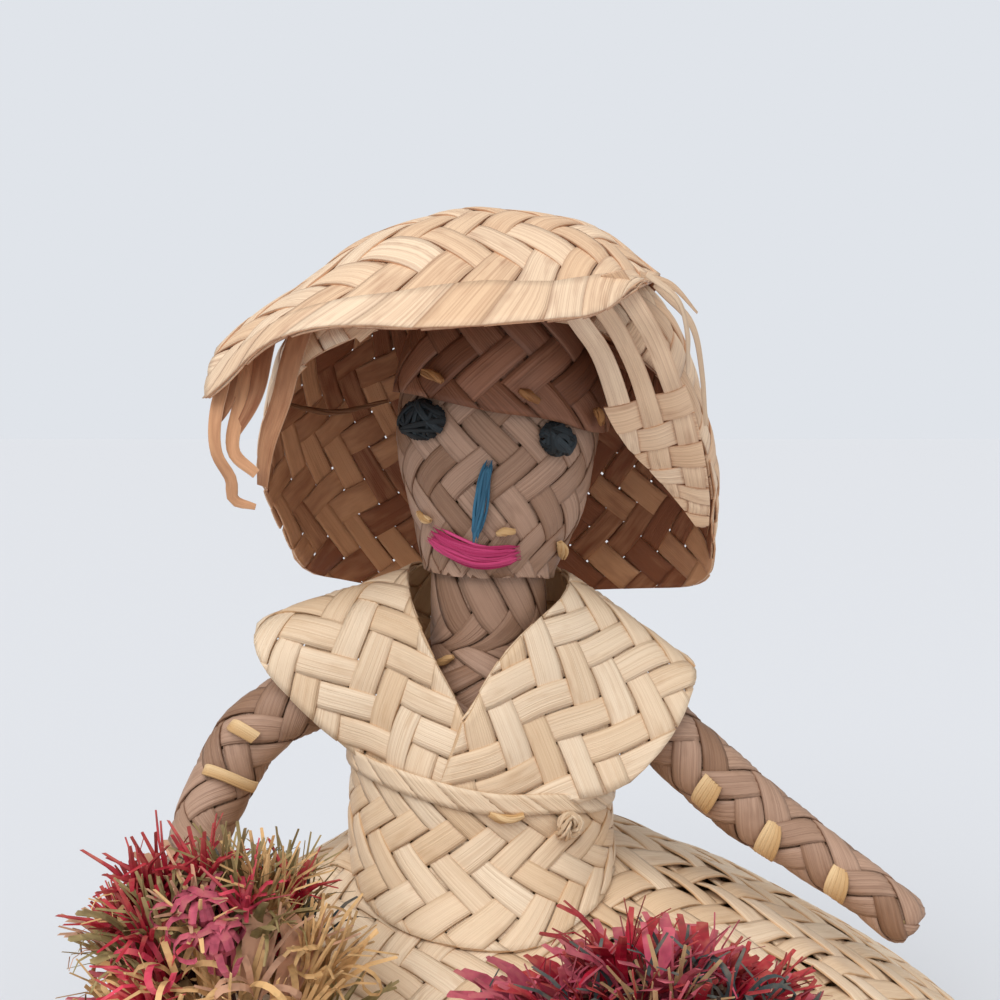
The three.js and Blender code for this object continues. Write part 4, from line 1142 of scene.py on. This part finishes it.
def loose_strips(name, face, strips):
    """Narrow strips through points, with their flat sides towards face, their widths and their shades."""
    paths = []
    t = np.linspace(0, 1, STRAND_POINTS)
    for points, girth, shade in strips:
        places = spaced(points)[0](t)
        tangents = unit(np.gradient(places, axis=0))
        lay = unit(face - tangents * np.sum(face * tangents, -1, keepdims=True))
        widths = np.interp(t, np.linspace(0, 1, len(girth)), girth)
        paths.append(dict(points=places, lay=lay, girth=widths, shade=shade))
    return swept(name, paths, 3.0, 0.35, hat_leaf)


split = loose_strips("hat_split_strips", np.array([0.5, -0.8, 0.2]), [
    ([(32, -30, 191), (38, -27, 187), (41, -23, 180), (42, -18, 172)], (0.5, 0.45, 0.5, 0.3), 0.2),
    ([(34, -25, 190), (42, -19, 182), (45.5, -14, 172), (46.5, -10, 162)], (0.6, 0.6, 0.5, 0.4), 0.5),
    ([(31, -28, 191), (37, -23, 190), (43, -19, 184)], (0.6, 0.5, 0.2), 0.8),
])
settle(joined(torn, split), "hat", "natural_straw", "hat_side_strip_1", "hat_side_strip_2",
       "hat_side_strip_3")
# These strips hang in the hat's shade: their darker undersides, turned outwards, are painted shade.
frayed = loose_strips("hat_frayed_strips", np.array([0.25, 0.95, -0.1]), [  # their brown side is outwards
    ([(-49, -24, 174), (-50.5, -27, 165), (-50, -27, 157), (-47.5, -26, 151.5), (-47.5, -25, 147.5),
      (-43, -26, 146)],
     (0.8, 1.0, 0.9, 0.8, 0.9, 0.4), 0.3),
    ([(-43, -24, 178), (-46, -26, 167), (-47, -26, 157), (-42.5, -27, 152.5)], (1.2, 1.2, 1.0, 0.7), 0.2),
    ([(-40, -24, 181), (-43, -27, 168), (-47, -26, 160)], (1.4, 1.2, 0.6), 0.7),
    ([(-33, -24, 185), (-37, -26, 170), (-41, -24, 160), (-42.5, -20, 150)], (1.5, 1.5, 1.4, 0.8), 0.5),
    ([(-47, -23, 176), (-48.5, -26, 166), (-51.5, -26, 161)], (0.9, 0.7, 0.3), 0.6),
])
settle(frayed, "hat", "natural_straw", "hat_frayed_strip_1", "hat_frayed_strip_2", "hat_frayed_strip_3",
       "hat_frayed_strip_4")

# Hat ties
# A twist of raffia on each side runs from the temple to the inside of the crown; the hat tilts
# on these two.

# Raffia darkened as painted shade for the ties inside the hat: dull and dark brown
raffia_in_hat_shade = raffia_finish("raffia, smoked", "#9C6C44", "#6A4226")
for side, name in ((1, "hat_tie_left"), (-1, "hat_tie_right")):
    low, high = (np.array(corner) / MM - [TORSO_X, 0, 0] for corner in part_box(name))
    temple = head_at(np.array(0.0 if side > 0 else np.pi), np.array(35.0)) + [side * 2.1, 0, 0]
    outer = (high if side > 0 else low)[0] - side * 0.4
    end = np.array([outer, 0.0, high[2] - 1.0])
    middle = (temple + end) / 2 + [0, 0, -3]
    path = spaced([temple, middle, end])[0](np.linspace(0, 1, STRAND_POINTS))
    tie = swept(name + "_strands", bundle(path, 3, 0.35, 1.0, 75 + side), 0.8, 0.6, raffia_in_hat_shade)
    settle(tie, "hat", "raffia", name)

# Arms
# Each arm is a brown plaited sleeve over a roll, laced round with a few strands of raffia and
# closed at the hand.

ARM_PATHS = {
    "left": [(25.5, 0, 102), (32.7, 0, 102), (43, -0.5, 93), (60, -3, 78.4), (82.5, -8, 63.5), (91, -11, 57)],
    "right": [(-25.5, 0, 104), (-32.7, 0, 104), (-44.5, -1.5, 100), (-55, -5, 86), (-58.5, -11, 75),
              (-56, -20, 68), (-51.5, -28, 65.5)],
}
ARM_GIRTH = 44.0
HAND_CLOSING, HAND_PAST = 3.5, 2.0  # length over which the sleeve closes, before and past the roll's end


def arm_radius(t):
    """The sleeve's radius at a share of the arm's length."""
    return lerp(lerp(7.2, 7.7, smooth(t, 0.0, 0.2)), 5.8, smooth(t, 0.25, 1.0))


def arm(side, seed, spread, view, arc, reach, turns):
    """A sleeve and its lacing, whose strands are spread where they face view and drawn in elsewhere."""
    line, length = spaced(ARM_PATHS[side])
    shares = np.linspace(0, 1, 241)
    spine = line(shares)
    tangents, normals, binormals = frames(spine)
    at = lambda table, t: np.stack([np.interp(t, shares, table[:, i]) for i in range(3)], -1)

    def place(t, angle, radius):
        return (at(spine, t) + at(normals, t) * (radius * np.cos(angle))[..., None]
                + at(binormals, t) * (radius * np.sin(angle))[..., None])

    def surface(angle, v):
        run = v * (length + HAND_PAST)
        t = np.clip(run / length, 0, 1)
        tuck = np.clip((run - length + HAND_CLOSING) / (HAND_CLOSING + HAND_PAST), 0, 1)
        radius = arm_radius(t) * np.sqrt(np.maximum(1 - tuck ** 2, 0.0004))
        return place(t, angle, radius)

    piece = tube_plait(f"{side}_arm_plait", surface, ARM_GIRTH, length + HAND_PAST, 5, brown_leaf, seed,
                       outward=1, level=-BROWN_MAT / 2 - 0.25, rise=0.42)
    settle(piece, f"{side}_arm", "brown_straw", f"{side}_arm_sheath")
    t = np.linspace(0, 1, 150)
    share = lerp(*reach, t)
    turn = 2 * np.pi * turns * t
    out = unit(place(share, turn, arm_radius(share)) - at(spine, share))
    shown = smooth(out @ unit(np.array(view)), *arc)
    strands = []
    for k in range(5):
        aside = share + (k - 2) * spread * lerp(0.2, 1.0, shown) / length
        laid = place(aside, turn, arm_radius(share) + lerp(-2.0, 0.8, shown))
        strands.append(dict(points=laid, lay=out, girth=lerp(0.6, 1.0, shown), shade=k / 5))
    laced = swept(f"{side}_arm_lacing_strands", strands, 1.15, 0.7, gold_raffia)
    settle(laced, f"{side}_arm", "raffia", f"{side}_arm_lacing")
    return spine[-1], tangents[-1]


arm("left", 81, 1.05, (0.1, -0.8, -0.55), (0.45, 0.92), (0.36, 0.88), 2.6)
wrist, pointing = arm("right", 82, 0.45, (0.3, -0.9, 0.0), (0.3, 0.8), (0.34, 0.6), 1.65)

# Bouquets
# A bunch of dyed straw stands in the doll's right hand and a second one is stitched to the skirt:
# hundreds of frayed, curling blades in a few colours over a stem bound with raffia.

BLADE = 20.0  # length in millimetres that the blades below are drawn at


def ribbon(width, bend, curl, lean=0.0, root=(0.0, 0.0), tip=0.3, rows=7, straight=0.5):
    """One dry ribbon along +Z: it bends over by bend, and past its straight part it rolls up by curl."""
    t = np.linspace(0, 1, rows)
    angle = bend * t ** 1.5 + curl * np.maximum(t - straight, 0) ** 1.2
    step = BLADE / (rows - 1)
    x = root[0] + np.r_[0, np.cumsum(np.sin(angle[1:]) * step)]
    z = np.r_[0, np.cumsum(np.cos(angle[1:]) * step)]
    y = root[1] + lean * np.maximum(t - straight, 0) ** 1.3 * BLADE
    half = width / 2 * lerp(1.0, tip, t ** 3)
    fold = 0.3 * half + 0.1
    corners = []
    for a, b, c, wide, deep in zip(x, y, z, half, fold):
        corners += [(a, b - wide, c), (a + deep, b, c), (a, b + wide, c)]
    faces = [(0, 2, 1), (3 * rows - 3, 3 * rows - 2, 3 * rows - 1)]
    for i in range(0, 3 * rows - 3, 3):
        faces += [(i + k, i + (k + 1) % 3, i + (k + 1) % 3 + 3, i + k + 3) for k in range(3)]
    return corners, faces


def blade(name, ribbons):
    """A blade or a rolled stem of several ribbons, as a mesh to be repeated, with its height noted."""
    corners, faces = [], []
    for more_corners, more_faces in ribbons:
        faces += [tuple(len(corners) + k for k in face) for face in more_faces]
        corners += more_corners
    mesh = bpy.data.meshes.new(name)
    mesh.from_pydata((np.array(corners) * MM).tolist(), [], faces)
    note(mesh, along=np.array(corners)[:, 2] / BLADE)
    return bpy.data.objects.new(name, mesh)


STEM, ROLL, RIBBON, CURL, NEEDLE, ARCH, PETAL = range(7)
SHAPES = {
    STEM: [ribbon(1.0, 0.15, curl, lean, (0.0, y), 0.6, 5)
           for curl, lean, y in ((1.5, -0.25, -1.1), (-0.8, -0.05, -0.4), (0.4, 0.1, 0.4), (2.2, 0.3, 1.1))],
    ROLL: [ribbon(1.5, 0.0, curl, lean, root, 0.45, 6, 0.6)
           for curl, lean, root in ((5.0, 0.2, (0.7, 0.2)), (-5.0, -0.2, (-0.7, -0.2)),
                                    (1.5, 1.2, (0.2, 0.8)), (-1.5, -1.2, (-0.2, -0.8)),
                                    (0.5, 0.2, (0.0, 0.0)))],
    RIBBON: [ribbon(2.9, 0.35, 1.5, 0.1, (0.0, -1.2), 0.7, 6), ribbon(1.8, 0.2, 1.0, 0.3, (0.1, 0.9), 0.6, 6),
             ribbon(1.0, 0.8, 3.6, -0.3, (0.2, 0.3), 0.5, 8)],
    CURL: [ribbon(1.2, 4.6, 3.0, 0.4, tip=0.8, rows=13)],
    NEEDLE: [ribbon(1.0, 0.4, 1.5, 0.2, tip=0.5, rows=6)],
    ARCH: [ribbon(5.2, 0.6, 5.0, tip=0.9, rows=9)],
    PETAL: [ribbon(1.9, 1.3, 5.5, tip=0.7, rows=9)],
}
TALL = {CURL: 0.45, PETAL: 0.7, ARCH: 0.85}  # the share of its length that a curled blade stands up
blades = bpy.data.collections.new("blades")
for k, shape in SHAPES.items():
    blades.objects.link(blade(f"blade_{k}", shape))


def tuft_tree():
    """Stands a blade on every point, aimed, turned and scaled as the point says."""
    notes = [("aim", "FLOAT_VECTOR"), ("bow", "FLOAT_VECTOR"), ("long", "FLOAT"), ("wide", "FLOAT"),
             ("kind", "INT")]
    tree, given, noted = node_group("blades on points", [("Blades", "Collection")], notes)
    kinds = add(tree, "GeometryNodeCollectionInfo", {0: given["Blades"], 1: True, 2: True}).outputs[0]
    turn = add(tree, "FunctionNodeAxesToRotation", {0: noted["aim"], 1: noted["bow"]},
               primary_axis="Z", secondary_axis="X").outputs[0]
    sizes = {0: noted["long"], 1: noted["wide"], 2: noted["long"]}
    size = add(tree, "ShaderNodeCombineXYZ", sizes).outputs[0]
    tuft = add(tree, "GeometryNodeInstanceOnPoints", {
        "Points": given["Geometry"], "Instance": kinds, "Pick Instance": True,
        "Instance Index": noted["kind"], "Rotation": turn, "Scale": size}).outputs[0]
    return finished(tree, tuft, given["Finish"])


def dyed_finish(name):
    """Dyed straw: each blade takes its tuft's colour, with paler and darker streaks and a pale tip."""
    material, tree, skin = bare_finish(name, 0.6)
    tint = add(tree, "ShaderNodeAttribute", attribute_name="tint").outputs["Color"]
    place = add(tree, "ShaderNodeTexCoord").outputs["Object"]
    streak = add(tree, "ShaderNodeTexNoise", {"Vector": place, "Scale": 420.0, "Detail": 2.0}).outputs[0]
    along = add(tree, "ShaderNodeAttribute", attribute_name="along").outputs["Fac"]
    colour = stain_and_shade_layer(tree, tint, linear("#E0B08A"), streak, 0.5, 0.75, 0.18)
    colour = stain_and_shade_layer(tree, colour, linear("#2A0E0E"), streak, 0.5, 0.25, 0.45)
    colour = stain_and_shade_layer(tree, colour, linear("#E8C8A0"), along, 0.7, 1.0, 0.12)
    tree.links.new(colour, skin.inputs["Base Color"])
    skin.inputs["Specular IOR Level"].default_value = 0.2
    return material


# Straw dyed crimson, pink, olive, brown and grey: dull and dry, with bleached and dark streaks
dyed_straw = dyed_finish("dyed straw, shredded blades")
on_points = tuft_tree()

TUFTS = {  # for each tuft: its blades, how far apart they stand, how far they fan out and their length
    "torch": ([ROLL] * 3 + [STEM], 0.9, 0.05, 19.0),
    "broom": ([STEM] * 6 + [NEEDLE] * 2, 2.2, 0.1, 20.0),
    "leaves": ([RIBBON] * 4 + [STEM], 1.8, 0.22, 19.0),
    "curls": ([CURL] * 5 + [STEM], 1.8, 0.35, 17.0),
    "flower": ([PETAL] * 13 + [CURL] * 3, 2.6, 0.2, 16.0),
    "arch": ([ARCH, STEM], 1.0, 0.06, 22.0),
    "needles": ([NEEDLE] * 6, 1.2, 0.18, 19.0),
    "star": ([STEM] * 3 + [CURL] * 3 + [NEEDLE] * 2, 1.5, 0.3, 18.0),
}
SIDE_TUFTS, CORE_BLADES, STEM_BLADES = 76, 100, 36
NEXT_TURN = 2.4  # angle from one blade or tuft to the next, so that they spread evenly


def stem_tie(foot, direction, seed):
    """The strands of a binding that goes three times round a bouquet's stem."""
    turns, radius, start, height = 3, 5.5, 1.0, 5.7
    side = unit(np.cross(direction, [0.3, 0.2, 1.0]))
    up = np.cross(direction, side)
    t = np.linspace(0, 1, 90)
    angle = 2 * np.pi * turns * t
    around = side * np.cos(angle)[:, None] + up * np.sin(angle)[:, None]
    coil = foot + around * radius + direction * (start + height * t)[:, None]
    return bundle(coil, 3, 0.45, 6.0, seed)


def bunch(node, foot, direction, away, middle, reach, tufts, rest, seed):
    """Tufts of one colour each over a dome, more round its sides, a near-black core as painted shade, and a
    bound stem.
    """
    dice = np.random.default_rng(seed)
    stood = []

    def stand(shape, root, aim, bow, length, wide, tint):
        stood.append((root, aim, bow, length / BLADE, wide, shape, tint))

    def tuft(kind, colour, out):
        shapes, spread, fan, length = TUFTS[kind]
        aim = unit(0.55 * unit(out / reach) * [1, kind != "arch", 1] + [0, 0, 0.8])
        aim = unit(aim + away * max(0.1 - aim @ away, 0))
        length = min(length, np.linalg.norm(out)) * dice.uniform(0.9, 1.1)
        for k, shape in enumerate(shapes):
            ring = unit(np.cross(aim, [math.sin(NEXT_TURN * k), math.cos(NEXT_TURN * k), 0.3]))
            root = middle + out - aim * length * TALL.get(shape, 1.0) + ring * spread * dice.uniform(0.3, 1.0)
            bow = unit(ring + 0.3 * dice.normal(size=3))
            bow = {PETAL: -ring, ARCH: -unit(out), RIBBON: unit(2 * unit(out) + bow)}.get(shape, bow)
            stand(shape, root, unit(aim + ring * fan * dice.uniform(0.4, 1.2)), bow,
                  length * dice.uniform(0.85, 1.1), dice.uniform(0.85, 1.2),
                  np.array(linear(colour)) * dice.uniform(0.7, 1.2))

    for kind, colour, x, z in tufts:
        depth = math.sqrt(max(1 - (x / reach[0]) ** 2 - (z / reach[2]) ** 2, 0.0))
        tuft(kind, colour, np.array([x, -reach[1] * depth, z]))
    for k in range(SIDE_TUFTS):
        height = 1 - 1.35 * (k + 0.5) / SIDE_TUFTS
        angle = NEXT_TURN * k + dice.uniform(-0.3, 0.3)
        around = math.sqrt(1 - height * height)
        out = np.array([around * math.cos(angle), around * math.sin(angle), height])
        out = out * reach * dice.uniform(0.7, 0.9)
        if out @ away > -2.0 and (out[1] > -4 or out[2] < 0):
            kind, colour = rest[dice.integers(len(rest))]
            tuft(kind, colour, out)
    # Short near-black blades fill the dome's middle: painted shade inside the bunch.
    for _ in range(CORE_BLADES):
        way = unit(dice.normal(size=3) + away)
        bow = unit(np.cross(way, [0.3, 0.5, 0.8]))
        stand(STEM, middle, way, bow, 0.6 * min(reach), 1.5, np.array(linear(SHADE_CORE_COLOUR)))
    for _ in range(STEM_BLADES):
        ring = unit(np.cross(direction, dice.normal(size=3)))
        root = foot + ring * dice.uniform(1.0, 3.9) + direction * 0.4
        stand(NEEDLE, root, unit(direction + ring * 0.12), ring, 14.0, 1.3,
              np.array(linear(STEM_COLOUR)) * dice.uniform(0.7, 1.2))
    name = node + "_blades"
    points, aims, bows, longs, wides, kinds, tints = (np.array(column) for column in zip(*stood))
    tints[:, 3] = 1.0
    mesh = bpy.data.meshes.new(name)
    mesh.from_pydata(((points + [TORSO_X, 0, 0]) * MM).tolist(), [], [])
    note(mesh, long=longs, wide=wides)
    mesh.attributes.new("kind", "INT", "POINT").data.foreach_set("value", kinds.astype(np.int32))
    for key, values in (("aim", aims), ("bow", bows)):
        mesh.attributes.new(key, "FLOAT_VECTOR", "POINT").data.foreach_set("vector", values.ravel())
    mesh.attributes.new("tint", "FLOAT_COLOR", "POINT").data.foreach_set("color", tints.ravel())
    piece = grown(placed(name, mesh), on_points, Blades=blades, Finish=dyed_straw)
    body = "right_arm" if node == "hand_bunch" else "body"
    settle(piece, body, "dyed_straw", node)
    tie = swept(node + "_tie_strands", stem_tie(foot, direction, seed + 1), 1.0, 0.7, gold_raffia)
    settle(tie, body, "raffia", node + "_tie")


def skirt_normal(u, v):
    """The way out of the skirt, at shares round it and down it."""
    step = 1e-3
    angle, v = np.array(2 * np.pi * u), np.array(v)
    side = skirt_surface(angle + step, v) - skirt_surface(angle - step, v)
    down = skirt_surface(angle, v + step) - skirt_surface(angle, v - step)
    return unit(np.cross(down, side))


CRIMSON, ROSE, MAGENTA, PINK, OLIVE, TAN, BROWN, FAWN, GREY = (
    "#AE1A34", "#BE5068", "#BC566A", "#D84660", "#948458", "#D9B07A", "#CFA083", "#A88660", "#465254")
# The core's near-black red is painted shade inside a bunch; the stem's colour is its own.
SHADE_CORE_COLOUR, STEM_COLOUR = "#3A1014", "#9A7A50"
HAND_TUFTS = [  # each tuft's kind and colour, and where its tip is across and up from the dome's middle
    ("torch", CRIMSON, -14, 19), ("torch", CRIMSON, -10, 21), ("torch", CRIMSON, -1, 22),
    ("broom", OLIVE, 6, 22), ("broom", TAN, 12, 20), ("flower", MAGENTA, 0, 16),
    ("torch", PINK, 8, 18), ("leaves", OLIVE, 12, 16),
    ("arch", BROWN, 13, 15), ("arch", BROWN, 20, 12), ("broom", TAN, 23, 9), ("flower", MAGENTA, 4, 11),
    ("torch", TAN, 0, 15), ("leaves", OLIVE, -13, 14), ("broom", OLIVE, -8, 16), ("torch", CRIMSON, -10, 13),
    ("torch", BROWN, -2, 17), ("curls", TAN, -4, 7), ("curls", PINK, -7, 9), ("torch", CRIMSON, -9, 2),
    ("star", TAN, 8, 5), ("curls", BROWN, 11, 4), ("star", TAN, 25, 5), ("star", OLIVE, 27, -4),
    ("star", TAN, 19, -1),
]
HAND_REST = [("torch", CRIMSON), ("broom", OLIVE), ("star", TAN), ("curls", TAN), ("leaves", BROWN),
             ("leaves", MAGENTA), ("needles", GREY)]
bunch("hand_bunch", wrist + pointing * FIT, pointing, skirt_normal(0.61, 0.28),
      np.array([-46.7, -49.0, 69.5]), np.array([29.0, 23.0, 24.0]), HAND_TUFTS, HAND_REST, 91)
FRONT_TUFTS = [
    ("needles", GREY, -34, 9), ("leaves", ROSE, -28, 12), ("leaves", ROSE, -25, 14.5),
    ("leaves", ROSE, -20, 17), ("leaves", CRIMSON, -17, 17.5), ("needles", GREY, -14, 19),
    ("leaves", CRIMSON, -10, 18.5), ("leaves", CRIMSON, -7.5, 24), ("needles", GREY, -6, 21),
    ("leaves", ROSE, -3.5, 22.5), ("broom", FAWN, -1, 19.5), ("leaves", ROSE, 1.5, 22.5),
    ("leaves", CRIMSON, 7, 19.5), ("needles", GREY, 9.5, 20.5), ("curls", GREY, 12.5, 19),
    ("needles", GREY, 15, 18), ("leaves", CRIMSON, 16, 16), ("needles", GREY, 21, 14.5),
    ("leaves", CRIMSON, 25, 11.5), ("leaves", ROSE, -23, 11), ("leaves", CRIMSON, -18, 12),
    ("leaves", CRIMSON, -12, 15), ("leaves", ROSE, -6, 17), ("leaves", CRIMSON, -2, 15.5),
    ("needles", FAWN, 1, 18), ("leaves", CRIMSON, 4, 16.5), ("leaves", ROSE, 9, 15),
    ("leaves", CRIMSON, 13, 13), ("leaves", CRIMSON, 19, 11), ("leaves", CRIMSON, -13, 10),
    ("leaves", ROSE, -7, 12), ("leaves", CRIMSON, 0, 11), ("leaves", CRIMSON, 7, 11),
    ("leaves", ROSE, 14, 8), ("leaves", CRIMSON, 22, 6), ("leaves", CRIMSON, -22, 7),
]
FRONT_REST = [("leaves", CRIMSON), ("leaves", ROSE)] * 3 + [("needles", GREY)]
FRONT_ROUND, FRONT_DOWN = 0.79, 0.35  # where the stem stands on the skirt
front_normal = skirt_normal(FRONT_ROUND, FRONT_DOWN)
front_foot = skirt_surface(np.array(2 * np.pi * FRONT_ROUND), np.array(FRONT_DOWN)) + front_normal * 0.9
front_way = unit(front_normal + [0, 0, 0.5])
bunch("skirt_bunch", front_foot, front_way, front_way, np.array([29.4, -80.0, 64.0]),
      np.array([31.0, 28.0, 24.0]), FRONT_TUFTS, FRONT_REST, 95)
for shape in list(blades.objects):
    bpy.data.objects.remove(shape)

# Stage
# A pale floor and soft light from above and the front, as in a small studio. The sky lights the
# doll at half strength, and where the camera sees the sky it is an even, pale grey.

floor_mesh = bpy.data.meshes.new("floor")
floor_mesh.from_pydata([(-6, -6, 0), (6, -6, 0), (6, 6, 0), (-6, 6, 0)], [], [(0, 1, 2, 3)])
floor = placed("floor", floor_mesh)
# Seamless paper: a flat, even, pale grey-blue
paper, _, paper_skin = bare_finish("backdrop paper, matt", 0.95)
paper_skin.inputs["Base Color"].default_value = linear("#DDE1E8")
floor_mesh.materials.append(paper)

world = bpy.data.worlds.new("studio")
world.use_nodes = True
sky = world.node_tree
sky.nodes["Background"].inputs["Color"].default_value = linear("#FFFDFA")
sky.nodes["Background"].inputs["Strength"].default_value = 0.5
lit = sky.nodes["Background"].outputs[0]
seen = add(sky, "ShaderNodeBackground", {"Color": linear("#E0E4EA"), "Strength": 1.0}).outputs[0]
eye_ray = add(sky, "ShaderNodeLightPath").outputs["Is Camera Ray"]
mixed = add(sky, "ShaderNodeMixShader", {0: eye_ray, 1: lit, 2: seen}).outputs[0]
sky.links.new(mixed, sky.nodes["World Output"].inputs["Surface"])
bpy.context.scene.world = world

LIGHTS = (("key", (0.4, 0.75, -0.9), 50.0, 2.1), ("fill", (-0.8, 0.6, -0.5), 80.0, 0.5))
for title, aim, spread, strength in LIGHTS:
    lamp = bpy.data.lights.new(title, "SUN")
    lamp.angle = math.radians(spread)
    lamp.energy = strength
    lamp_object = placed(title, lamp)
    tilt = math.acos(-aim[2] / np.linalg.norm(aim))
    lamp_object.rotation_euler = (tilt, 0.0, math.atan2(aim[1], aim[0]) - math.pi / 2)
    lamp_object.location = (0.0, 0.0, 0.6)

# Camera
# A lens close in front of the doll's face, tipped a little down, as the photograph was taken. Its
# place and angle were found from where the hat, face, bodice and bouquets lie in the picture.

lens = bpy.data.cameras.new("camera")
lens.lens = 50.76
lens.sensor_width = 36.0
lens.clip_start = 0.01
camera = placed("camera", lens)
camera.location = (-0.0117, -0.2993, 0.1669)
camera.rotation_euler = (math.radians(86.0), 0.0, 0.0)
bpy.context.scene.camera = camera
bpy.context.scene.view_settings.view_transform = "Standard"
